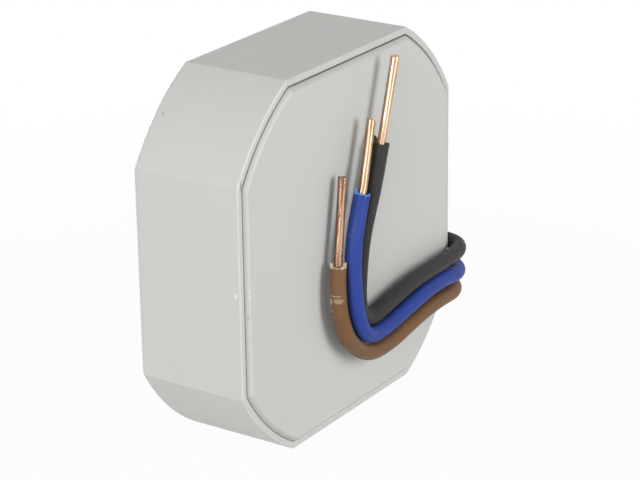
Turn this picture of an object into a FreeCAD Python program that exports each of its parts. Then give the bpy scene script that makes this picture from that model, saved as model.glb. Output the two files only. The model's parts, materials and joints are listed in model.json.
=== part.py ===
"""Staircase timer module for a round flush box, in millimetres.

The finished part stands on its bottom flat: x across the cover, y from the cover at the front
to the dial at the back, z up, with its origin under the middle of the case.
The case and all that it holds are first drawn lying on the back face: x across, y up from the
middle of the case, z from the back face to the cover. Then they are stood up together. The leads
are drawn in the finished part's own frame, as they lie.
"""
import FreeCAD
import Part
import Sketcher
import math
import os
import re

App = FreeCAD
Vector = App.Vector
doc = App.newDocument("StaircaseTimer")

# Driving dimensions
SIZES = [
    ("case_width", 48.0, "across two opposite flats of the case"),
    ("corner_rise", 3.5, "how much further the round corners reach than the flats"),
    ("wall", 1.3, "side wall of the case"),
    ("back_wall", 1.3, "back wall of the case"),
    ("back_round", 1.0, "round along the back edge"),
    ("rim_wall", 0.9, "side wall of the case beside the cover plate"),
    ("rim_round", 0.2, "round along the edges of the rim"),
    ("cover_gap", 0.1, "seam between rim and cover"),
    ("cover_settle", 0.08, "how far the cover plate hangs below the middle of its seam"),
    ("cover_rise", 0.45, "cover face in front of the rim"),
    ("cover_thickness", 1.6, "cover plate"),
    ("cover_bevel", 0.5, "bevel along the edge of the cover face"),
    ("head_room", 0.3, "between the back wall and the tallest component, the relay"),
    ("board_thickness", 1.2, "circuit board"),
    ("board_gap", 0.5, "board edge to side wall"),
    ("post_inset", 7.8, "corner posts from the flats, both ways"),
    ("post_radius", 2.4, "post up to the board"),
    ("stub_radius", 1.4, "post past the board, up to the cover"),
    ("stub_clearance", 0.15, "hole in the board round a stub"),
    ("stud_radius", 1.2, "cover studs that hold the board down"),
    ("stud_across", 8.0, "studs from the middle, across"),
    ("stud_up", 20.2, "studs from the middle, up and down"),
    ("stud_gap", 0.1, "stud end to board"),
    ("snap_width", 6.0, "width of a snap tongue"),
    ("snap_thickness", 1.0, "thickness of a snap tongue"),
    ("snap_length", 1.5, "length of a snap tongue under the cover"),
    ("snap_bite", 0.4, "how far a barb stands out of its tongue"),
    ("snap_barb", 0.6, "height of a barb"),
    ("snap_play", 0.2, "room round a barb in its recess"),
    ("snap_side_up", 7.0, "snap of the lead side, above the middle"),
    ("lead_height", 12.8, "middle lead above the bottom flat"),
    ("lead_pitch", 2.7, "from lead to lead in the outlet"),
    ("lead_diameter", 2.1, "insulated lead"),
    ("conductor_diameter", 1.12, "solid copper conductor"),
    ("outlet_clearance", 0.3, "outlet slot round a lead"),
    ("mouth_margin", 0.35, "wider mouth of the outlet slot, on the outside"),
    ("mouth_depth", 0.5, "wider mouth of the outlet slot"),
    ("lead_float", 0.04, "conductor above the board"),
    ("lead_headroom", 0.15, "insulated lead to the inside of the cover"),
    ("lead_bare_inside", 3.8, "stripped end inside the case"),
    ("board_notch", 19.8, "board edge beside the outlet, from the middle"),
    ("board_notch_play", 1.6, "notch past the outer leads"),
    ("dial_across", 12.0, "time dial from the middle, across"),
    ("dial_up", 3.0, "time dial from the middle, up"),
    ("dial_radius", 8.0, "sunk dial face"),
    ("dial_depth", 0.3, "depth of the sunk dial face"),
    ("knob_radius", 2.7, "knob in the back wall"),
    ("knob_clearance", 0.09, "radial clearance of the knob in the back wall"),
    ("knob_sink", 0.05, "knob face below the dial face"),
    ("knob_collar_radius", 3.5, "collar that keeps the knob in the case"),
    ("knob_collar_height", 0.9, "collar height"),
    ("knob_collar_play", 0.15, "collar under the back wall"),
    ("knob_shaft_radius", 1.9, "knob shaft"),
    ("knob_slot_width", 0.9, "screwdriver slot"),
    ("knob_slot_length", 4.2, "screwdriver slot"),
    ("knob_slot_depth", 0.8, "screwdriver slot"),
    ("knob_key", 1.6, "square key of the knob in the rotor"),
    ("knob_key_length", 1.2, "square key in the rotor"),
    ("trimmer_side", 7.0, "trimmer body"),
    ("trimmer_height", 3.0, "trimmer body"),
    ("rotor_radius", 2.6, "trimmer rotor"),
    ("rotor_height", 1.3, "trimmer rotor above its body"),
    ("rotor_play", 0.05, "rotor above the body, and hub in its bore"),
    ("hub_radius", 1.3, "rotor hub in the trimmer body"),
    ("hub_length", 2.2, "rotor hub in the trimmer body"),
    ("trimmer_pin_spread", 2.5, "trimmer pins from its middle"),
    ("stand_off", 0.1, "components above the board"),
    ("seat_play", 0.02, "radial play of a pin or rivet in its seat"),
    ("component_round", 0.5, "edges of the larger components"),
    ("pin_radius", 0.3, "round component pins"),
    ("pin_end", 1.0, "pins past the board"),
    ("pin_hole_play", 0.12, "board hole round a pin, radial"),
    ("fillet_width", 0.5, "solder cone beside the pin"),
    ("fillet_height", 0.6, "solder cone height"),
    ("relay_across", -13.0, "relay corner, across"),
    ("relay_up", 6.4, "relay corner, up"),
    ("relay_length", 20.0, "relay case"),
    ("relay_width", 10.0, "relay case"),
    ("relay_height", 9.8, "relay case"),
    ("relay_wall", 0.5, "relay case wall"),
    ("relay_round", 0.4, "edges of the relay case"),
    ("relay_play", 0.05, "relay base in its case"),
    ("relay_base_height", 1.2, "relay base"),
    ("yoke_thickness", 0.8, "yoke and armature plate"),
    ("yoke_across", 1.4, "yoke limb from the relay end"),
    ("yoke_length", 8.0, "yoke foot"),
    ("yoke_width", 6.0, "yoke and armature"),
    ("core_across", 6.2, "core from the relay end"),
    ("core_radius", 1.2, "core"),
    ("core_head_radius", 1.8, "pole face"),
    ("core_head_height", 0.4, "pole face"),
    ("armature_height", 7.5, "underside of the open armature above the board"),
    ("armature_gap", 0.4, "pole face to open armature"),
    ("armature_play", 0.05, "armature at the yoke edge"),
    ("armature_length", 7.4, "armature from the yoke edge"),
    ("flange_radius", 3.3, "bobbin flange"),
    ("flange_thickness", 0.45, "bobbin flange"),
    ("bobbin_wall", 0.35, "bobbin tube"),
    ("coil_radius", 3.0, "winding"),
    ("leaf_thickness", 0.2, "contact leaf"),
    ("leaf_width", 3.6, "contact leaf"),
    ("leaf_length", 14.0, "contact leaf from the yoke edge"),
    ("contact_across", 14.2, "contacts from the relay end"),
    ("contact_radius", 0.8, "contact rivets"),
    ("contact_height", 0.6, "contact rivets"),
    ("contact_gap", 0.75, "open contacts"),
    ("terminal_thickness", 0.4, "fixed contact terminal"),
    ("terminal_width", 1.6, "fixed contact terminal"),
    ("terminal_across", 16.4, "fixed contact terminal leg from the relay end"),
    ("coil_pin_across", 10.8, "coil pins from the relay end"),
    ("coil_pin_spread", 3.6, "coil pins from the relay middle"),
    ("coil_pin_height", 2.6, "coil pins above the board"),
    ("shelf_margin", 0.5, "bobbin shelf past the coil pins"),
    ("film_across", -20.0, "film capacitor corner, across"),
    ("film_up", -8.5, "film capacitor corner, up"),
    ("film_length", 13.0, "film capacitor"),
    ("film_width", 12.0, "film capacitor"),
    ("film_height", 6.0, "film capacitor"),
    ("film_pitch", 10.0, "film capacitor legs"),
    ("can_across", -1.5, "electrolytic capacitor axis, across"),
    ("can_up", -9.8, "electrolytic capacitor bung end, up"),
    ("can_radius", 4.0, "electrolytic capacitor"),
    ("can_length", 11.5, "electrolytic capacitor"),
    ("can_bung", 1.3, "rubber bung of the electrolytic capacitor"),
    ("can_pitch", 3.5, "electrolytic capacitor legs"),
    ("disc_across", 11.6, "varistor, across"),
    ("disc_up", -11.6, "varistor, up"),
    ("disc_radius", 3.5, "varistor"),
    ("disc_thickness", 3.6, "varistor"),
    ("disc_pitch", 5.0, "varistor legs"),
    ("fuse_across", 1.5, "fusible resistor, across"),
    ("fuse_up", -13.4, "fusible resistor, up"),
    ("fuse_length", 9.0, "fusible resistor"),
    ("fuse_radius", 1.6, "fusible resistor"),
    ("diode_length", 5.2, "rectifier diode"),
    ("diode_radius", 1.35, "rectifier diode"),
    ("diode_one_across", -10.5, "first rectifier diode, across"),
    ("diode_one_up", -12.6, "first rectifier diode, up"),
    ("diode_two_across", -4.0, "second rectifier diode, across"),
    ("diode_two_up", -17.6, "second rectifier diode, up"),
    ("zener_across", 4.8, "zener diode, across"),
    ("zener_up", -17.6, "zener diode, up"),
    ("zener_length", 3.8, "zener diode"),
    ("zener_radius", 0.9, "zener diode"),
    ("leg_run", 1.3, "leg from a component to its bend"),
    ("collar_side", 1.2, "coating round a varistor leg"),
    ("chip_across", 11.4, "control chip, across"),
    ("chip_up", 12.2, "control chip, up"),
    ("chip_length", 4.9, "control chip"),
    ("chip_width", 3.9, "control chip"),
    ("chip_height", 1.5, "control chip"),
    ("chip_leg_pitch", 1.27, "control chip legs"),
    ("chip_leg_width", 0.4, "control chip legs"),
    ("chip_leg_reach", 1.0, "control chip legs"),
    ("chip_leg_thickness", 0.2, "control chip legs"),
    ("switch_across", -17.3, "driver transistor, across"),
    ("switch_up", 7.0, "driver transistor, up"),
    ("small_length", 2.0, "chip resistors and capacitors"),
    ("small_width", 1.25, "chip resistors and capacitors"),
    ("small_height", 0.55, "chip resistors and capacitors"),
    ("small_cap", 0.35, "metal end of a chip resistor or capacitor"),
    ("row_pitch", 2.6, "from one chip resistor or capacitor to the next"),
    ("near_row_across", 5.6, "row beside the electrolytic capacitor, across"),
    ("near_row_up", -6.5, "row beside the electrolytic capacitor, lowest piece"),
    ("far_row_across", 18.6, "row beside the time dial, across"),
    ("far_row_up", -1.0, "row beside the time dial, lowest piece"),
    ("mound_cover", 0.21, "solder over a conductor"),
    ("mound_length", 3.1, "solder over a conductor"),
    ("mound_width", 2.2, "solder over a conductor"),
    ("bend_after_cut", 0.9, "from the cut of the insulation to the bend of the bare end"),
    ("bend_reach", 0.8, "from the bend point to where its arc starts and ends"),
]

sheet = doc.addObject("Spreadsheet::Sheet", "Sizes")
VALUE = {}
for row, (alias, number, note) in enumerate(SIZES, start=1):
    sheet.set(f"A{row}", alias)
    sheet.set(f"B{row}", str(number))
    sheet.set(f"C{row}", note)
    sheet.setAlias(f"B{row}", alias)
    VALUE[alias] = number
doc.recompute()

# Levels above the back face, stacked up from the tallest component to the rim
BOARD = "(back_wall + head_room + relay_height)"
SOLDER = f"({BOARD} + board_thickness)"
LEAD_LEVEL = f"({SOLDER} + lead_float + conductor_diameter/2)"
COVER_INSIDE = f"({LEAD_LEVEL} + lead_diameter/2 + lead_headroom)"
COVER_FACE = f"({COVER_INSIDE} + cover_thickness)"
RIM = f"({COVER_FACE} - cover_rise)"
SNAP_LEVEL = f"({COVER_INSIDE} - snap_length)"

# Places that several pieces share
CORNER = "(case_width/2 + corner_rise)"
COVER_EDGE = "(case_width/2 - rim_wall - cover_gap)"
TONGUE_FACE = "(case_width/2 - wall - cover_gap)"
POST = "(case_width/2 - post_inset)"
RELAY_MIDDLE = "(relay_up + relay_width/2)"

SUBPARTS = []


def formula(text):
    """The same text with each size name pointing into the sheet."""
    return re.sub(r"[a-z_]+", lambda word: "Sizes." + word[0] if word[0] in VALUE else word[0], str(text))


def bind(thing, **formulas):
    for name, text in formulas.items():
        thing.setExpression(name, formula(text))


def place(thing, across, up, level):
    for axis, text in (("x", across), ("y", up), ("z", level)):
        thing.setExpression(f"Placement.Base.{axis}", formula(text))


def box(name, corner, size):
    piece = doc.addObject("Part::Box", name)
    bind(piece, Length=size[0], Width=size[1], Height=size[2])
    place(piece, *corner)
    return piece


TURNS = {
    "z": App.Rotation(),
    "y": App.Rotation(Vector(1, 0, 0), -90),
    "x": App.Rotation(Vector(0, 1, 0), 90),
}


def rod(name, start, radius, length, along="z"):
    piece = doc.addObject("Part::Cylinder", name)
    piece.Placement.Rotation = TURNS[along]
    bind(piece, Radius=radius, Height=length)
    place(piece, *start)
    return piece


def ball(name, centre, radius):
    piece = doc.addObject("Part::Sphere", name)
    bind(piece, Radius=radius)
    place(piece, *centre)
    return piece


def fuse(name, *pieces):
    piece = doc.addObject("Part::MultiFuse", name)
    piece.Shapes = list(pieces)
    piece.Refine = True
    return piece


def cut(name, base, *tools):
    tool = tools[0]
    if len(tools) > 1:
        tool = group(name + "_tools", *tools)
    piece = doc.addObject("Part::Cut", name)
    piece.Base = base
    piece.Tool = tool
    return piece


def group(name, *pieces):
    """Separate solids kept as one sub-part."""
    piece = doc.addObject("Part::Compound", name)
    piece.Links = list(pieces)
    return piece


def subpart(label, piece):
    """Names a finished sub-part and stands it up with the rest of the case."""
    piece.Label = label
    piece.Placement.Rotation = App.Rotation(Vector(1, 0, 0), 90)
    bind(piece, **{"Placement.Base.y": f"{COVER_FACE}/2", "Placement.Base.z": "case_width/2"})
    SUBPARTS.append(piece)
    return piece


def sketch_on(body, name, level="0", role="XY_Plane", up="0"):
    """An empty sketch on one of the body's own planes, lifted off it and moved up it by formulas."""
    sketch = body.newObject("Sketcher::SketchObject", name)
    plane = next(item for item in body.Origin.OriginFeatures if item.Role == role)
    sketch.AttachmentSupport = (plane, "")
    sketch.MapMode = "FlatFace"
    bind(sketch, **{"AttachmentOffset.Base.y": up, "AttachmentOffset.Base.z": level})
    return sketch


def hold(sketch, name, kind, *details):
    """A named constraint whose value is a formula, given last."""
    *where, text = details
    if kind == "Radius":
        drawn = sketch.Geometry[where[0]].Radius
    else:
        step = sketch.getPoint(*where[2:]) - sketch.getPoint(*where[:2])
        drawn = step.x if kind == "DistanceX" else step.y
    at = sketch.addConstraint(Sketcher.Constraint(kind, *where, drawn))
    sketch.renameConstraint(at, name)
    sketch.setExpression(f"Constraints.{name}", formula(text))


def draw_outline(sketch, half, radius):
    """Four flats cut from a circle: the outline of the case, its cover and its board."""
    flat = VALUE["case_width"] / 2
    round_ = flat + VALUE["corner_rise"]
    end = (round_ ** 2 - flat ** 2) ** 0.5
    corners = [(-end, flat), (end, flat), (flat, end), (flat, -end)]
    corners += [(end, -flat), (-end, -flat), (-flat, -end), (-flat, end)]
    points = [Vector(x, y, 0) for x, y in corners]
    for first in range(0, 8, 2):
        sketch.addGeometry(Part.LineSegment(points[first], points[first + 1]))
    for first in range(1, 8, 2):
        start, stop = points[(first + 1) % 8], points[first]
        middle = (start + stop).normalize() * round_
        sketch.addGeometry(Part.Arc(start, middle, stop))
    # The lines are 0 top, 1 right, 2 bottom, 3 left; arc 4 + n joins line n to the next
    for side in range(4):
        arc = 4 + side
        following = (side + 1) % 4
        sketch.addConstraint(Sketcher.Constraint("Coincident", side, 2, arc, 2))
        sketch.addConstraint(Sketcher.Constraint("Coincident", arc, 1, following, 1))
        sketch.addConstraint(Sketcher.Constraint("Coincident", arc, 3, -1, 1))
        level = "Horizontal" if side % 2 == 0 else "Vertical"
        sketch.addConstraint(Sketcher.Constraint(level, side))
    hold(sketch, "radius", "Radius", 4, radius)
    for arc in (5, 6, 7):
        sketch.addConstraint(Sketcher.Constraint("Equal", 4, arc))
    hold(sketch, "top", "DistanceY", -1, 1, 0, 1, half)
    hold(sketch, "right", "DistanceX", -1, 1, 1, 1, half)
    hold(sketch, "bottom", "DistanceY", 2, 1, -1, 1, half)
    hold(sketch, "left", "DistanceX", 3, 1, -1, 1, half)


def draw_circle(sketch, name, across, up, radius):
    ring = sketch.addGeometry(Part.Circle(Vector(1, 1, 0), Vector(0, 0, 1), 1.0))
    hold(sketch, name + "_radius", "Radius", ring, radius)
    hold(sketch, name + "_across", "DistanceX", -1, 1, ring, 3, across)
    hold(sketch, name + "_up", "DistanceY", -1, 1, ring, 3, up)


def draw_rectangle(sketch, name, low, high):
    """A rectangle from its low corner to its high corner, both given as formulas."""
    corners = [Vector(1, 1, 0), Vector(3, 1, 0), Vector(3, 2, 0), Vector(1, 2, 0)]
    lines = [
        sketch.addGeometry(Part.LineSegment(corners[side], corners[(side + 1) % 4]))
        for side in range(4)
    ]
    for side in range(4):
        sketch.addConstraint(Sketcher.Constraint("Coincident", lines[side], 2, lines[(side + 1) % 4], 1))
        level = "Horizontal" if side % 2 == 0 else "Vertical"
        sketch.addConstraint(Sketcher.Constraint(level, lines[side]))
    for corner, line in ((low, lines[0]), (high, lines[2])):
        tag = name + ("_low" if corner is low else "_high")
        hold(sketch, tag + "_across", "DistanceX", -1, 1, line, 1, corner[0])
        hold(sketch, tag + "_up", "DistanceY", -1, 1, line, 1, corner[1])


def feature(body, kind, name, sketch, length, reverse=False):
    """A Pad or Pocket that must add or remove material."""
    before = body.Tip.Shape.Volume if body.Tip else 0.0
    item = body.newObject("PartDesign::" + kind, name)
    item.Profile = sketch
    item.Reversed = reverse
    bind(item, Length=length)
    doc.recompute()
    change = item.Shape.Volume - before
    if (kind == "Pad") != (change > 0) or abs(change) < 1e-3:
        raise RuntimeError(f"{name} changes the volume by {change:.4f}")
    return item


def softened(body, kind, name, wanted, **size):
    """A fillet or a chamfer along the edges of the tip that the test picks out."""
    tip = body.Tip
    names = [f"Edge{at}" for at, edge in enumerate(tip.Shape.Edges, start=1) if wanted(edge, tip.Shape)]
    item = body.newObject("PartDesign::" + kind, name)
    item.Base = (tip, names)
    bind(item, **size)
    doc.recompute()
    return item


def rounded(body, name, radius, wanted):
    return softened(body, "Fillet", name, wanted, Radius=radius)


def at_bottom(edge, shape):
    return edge.BoundBox.ZMax < shape.BoundBox.ZMin + 1e-4


def at_top(edge, shape):
    return edge.BoundBox.ZMin > shape.BoundBox.ZMax - 1e-4


CORNERS = [("a", "", ""), ("b", "-", ""), ("c", "-", "-"), ("d", "", "-")]


def four_circles(sketch, across, up, radius):
    for tag, left, down in CORNERS:
        draw_circle(sketch, tag, f"{left}{across}", f"{down}{up}", radius)


def snap_boxes(sketch, near, far, wide):
    """One rectangle at each flat, from near to far off the middle, wide to both sides."""
    draw_rectangle(sketch, "top", (f"-{wide}", near), (wide, far))
    draw_rectangle(sketch, "bottom", (f"-{wide}", f"-{far}"), (wide, f"-{near}"))
    draw_rectangle(sketch, "left", (f"-{far}", f"-{wide}"), (f"-{near}", wide))
    draw_rectangle(sketch, "right", (near, f"snap_side_up - {wide}"), (far, f"snap_side_up + {wide}"))


def make_housing():
    body = doc.addObject("PartDesign::Body", "Housing")
    outer = sketch_on(body, "HousingOutline")
    draw_outline(outer, "case_width/2", CORNER)
    feature(body, "Pad", "HousingBlock", outer, RIM)
    rounded(body, "HousingBackRound", "back_round", at_bottom)
    inner = sketch_on(body, "HousingCavityOutline", RIM)
    draw_outline(inner, "(case_width/2 - wall)", f"{CORNER} - wall")
    feature(body, "Pocket", "HousingCavity", inner, f"{RIM} - back_wall")
    seat = sketch_on(body, "HousingCoverSeatOutline", RIM)
    draw_outline(seat, "(case_width/2 - rim_wall)", f"{CORNER} - rim_wall")
    feature(body, "Pocket", "HousingCoverSeat", seat, f"{RIM} - {COVER_INSIDE}")
    rounded(body, "HousingRimRound", "rim_round", at_top)
    posts = sketch_on(body, "HousingPostCircles", "back_wall")
    four_circles(posts, POST, POST, "post_radius")
    feature(body, "Pad", "HousingPosts", posts, f"{BOARD} - back_wall")
    stubs = sketch_on(body, "HousingStubCircles", BOARD)
    four_circles(stubs, POST, POST, "stub_radius")
    feature(body, "Pad", "HousingStubs", stubs, f"{COVER_INSIDE} - {BOARD}")
    recesses = sketch_on(body, "HousingSnapOutlines", f"{SNAP_LEVEL} - snap_play")
    recess_end = f"({TONGUE_FACE} + snap_bite + snap_play)"
    snap_boxes(recesses, TONGUE_FACE, recess_end, "(snap_width/2 + snap_play)")
    feature(body, "Pocket", "HousingSnapRecesses", recesses, "snap_barb + 2*snap_play", reverse=True)
    dial = sketch_on(body, "HousingDialCircle")
    draw_circle(dial, "dial", "dial_across", "dial_up", "dial_radius")
    feature(body, "Pocket", "HousingDial", dial, "dial_depth", reverse=True)
    hole = sketch_on(body, "HousingKnobCircle")
    draw_circle(hole, "knob", "dial_across", "dial_up", "knob_radius + knob_clearance")
    feature(body, "Pocket", "HousingKnobHole", hole, "2*back_wall", reverse=True)
    outlet = sketch_on(body, "HousingOutletOutline", "case_width/2 + wall", role="YZ_Plane")
    draw_outlet(outlet, "lead_diameter/2 + outlet_clearance")
    feature(body, "Pocket", "HousingOutlet", outlet, "5*wall")
    mouth = sketch_on(body, "HousingOutletMouthOutline", "case_width/2 + wall", role="YZ_Plane")
    draw_outlet(mouth, "lead_diameter/2 + outlet_clearance + mouth_margin")
    feature(body, "Pocket", "HousingOutletMouth", mouth, "wall + mouth_depth")
    return subpart("housing", body)


def draw_outlet(sketch, end):
    """A slot with round ends, long enough for the three leads one above the other."""
    pitch, around = VALUE["lead_pitch"], VALUE["lead_diameter"] / 2
    low, high = Vector(-pitch, pitch, 0), Vector(pitch, pitch, 0)
    rise = Vector(0, around, 0)
    out = Vector(around, 0, 0)
    sketch.addGeometry(Part.Arc(low + rise, low - out, low - rise))
    sketch.addGeometry(Part.LineSegment(low - rise, high - rise))
    sketch.addGeometry(Part.Arc(high - rise, high + out, high + rise))
    sketch.addGeometry(Part.LineSegment(high + rise, low + rise))
    # Arcs run anticlockwise, so both start where a straight side ends
    for arc, before, after in ((0, 3, 1), (2, 1, 3)):
        sketch.addConstraint(Sketcher.Constraint("Tangent", before, 2, arc, 1))
        sketch.addConstraint(Sketcher.Constraint("Tangent", arc, 2, after, 1))
    sketch.addConstraint(Sketcher.Constraint("Horizontal", 1))
    sketch.addConstraint(Sketcher.Constraint("Equal", 0, 2))
    middle = "lead_height - case_width/2"
    hold(sketch, "end", "Radius", 0, end)
    hold(sketch, "low", "DistanceX", -1, 1, 0, 3, f"{middle} - lead_pitch")
    hold(sketch, "high", "DistanceX", -1, 1, 2, 3, f"{middle} + lead_pitch")
    hold(sketch, "level", "DistanceY", -1, 1, 0, 3, LEAD_LEVEL)


def make_cover():
    body = doc.addObject("PartDesign::Body", "Cover")
    plate = sketch_on(body, "CoverOutline", COVER_INSIDE, up="-cover_settle")
    draw_outline(plate, COVER_EDGE, f"{CORNER} - rim_wall - cover_gap")
    feature(body, "Pad", "CoverPlate", plate, "cover_thickness")
    softened(body, "Chamfer", "CoverBevel", at_top, Size="cover_bevel")
    studs = sketch_on(body, "CoverStudCircles", COVER_INSIDE)
    four_circles(studs, "stud_across", "stud_up", "stud_radius")
    feature(body, "Pad", "CoverStuds", studs, f"{COVER_INSIDE} - {SOLDER} - stud_gap", reverse=True)
    tongues = sketch_on(body, "CoverTongueOutlines", COVER_INSIDE)
    snap_boxes(tongues, f"({TONGUE_FACE} - snap_thickness)", TONGUE_FACE, "(snap_width/2)")
    feature(body, "Pad", "CoverTongues", tongues, "snap_length", reverse=True)
    barbs = sketch_on(body, "CoverBarbOutlines", SNAP_LEVEL)
    snap_boxes(barbs, f"({TONGUE_FACE} - snap_thickness)", f"({TONGUE_FACE} + snap_bite)", "(snap_width/2)")
    feature(body, "Pad", "CoverBarbs", barbs, "snap_barb")
    return subpart("cover", body)


LEGS = []


def leg_hole(across, up, radius="pin_radius"):
    """Remembers where a leg goes through the board, for its hole and its solder cone."""
    LEGS.append((across, up, radius))


def straight_leg(name, across, up, top=f"{BOARD} - stand_off", radius="pin_radius"):
    leg_hole(across, up, radius)
    return rod(name, (across, up, top), radius, f"{SOLDER} + pin_end - ({top})")


def bent_leg(name, start, level, run, along, radius="pin_radius"):
    """A leg that leaves a component sideways, turns at a round elbow and enters the board.

    The run is a signed formula, in the across or the up direction.
    """
    across, up = start
    backward = run.startswith("-")
    length = run.lstrip("-")
    if along == "x":
        corner = (f"{across} + ({run})", up)
    else:
        corner = (across, f"{up} + ({run})")
    low = corner if backward else (across, up)
    flat = rod(name + "_flat", (*low, level), radius, length, along)
    elbow = ball(name + "_elbow", (*corner, level), radius)
    down = rod(name + "_down", (*corner, level), radius, f"{SOLDER} + pin_end - ({level})")
    leg_hole(*corner, radius)
    return fuse(name, flat, elbow, down)


def relay_at(across, level):
    """A place in the relay: across from its end, on its middle line, at a height off the board."""
    return (f"relay_across + {across}", RELAY_MIDDLE, f"{BOARD} - ({level})")


def relay_plate(name, across, length, width, top, height):
    """A flat piece in the relay, centred on its middle line, hanging down from a height."""
    corner = (f"relay_across + {across}", f"{RELAY_MIDDLE} - ({width})/2", f"{BOARD} - ({top})")
    return box(name, corner, (length, width, height))


def moulded_box(name, corner, size, radius):
    """A box with rounded edges, but for those of the face that lies towards the board."""
    body = doc.addObject("PartDesign::Body", name)
    across, up, level = corner
    long, wide, high = size
    base = sketch_on(body, name + "Outline", level)
    draw_rectangle(base, "edge", (across, up), (f"{across} + {long}", f"{up} + {wide}"))
    feature(body, "Pad", name + "Block", base, high)
    rounded(body, name + "Round", radius, lambda edge, shape: not at_top(edge, shape))
    return body


BASE_TOP = "(stand_off + relay_base_height)"
FOOT_TOP = "(stand_off + relay_base_height + yoke_thickness)"
POLE = "(armature_height - armature_gap)"
HEAD_UNDER = "(armature_height - armature_gap - core_head_height)"
LEAF_UNDER = "(armature_height + yoke_thickness)"
CONTACT_FOOT = f"({LEAF_UNDER} - 2*contact_height - contact_gap)"


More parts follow.
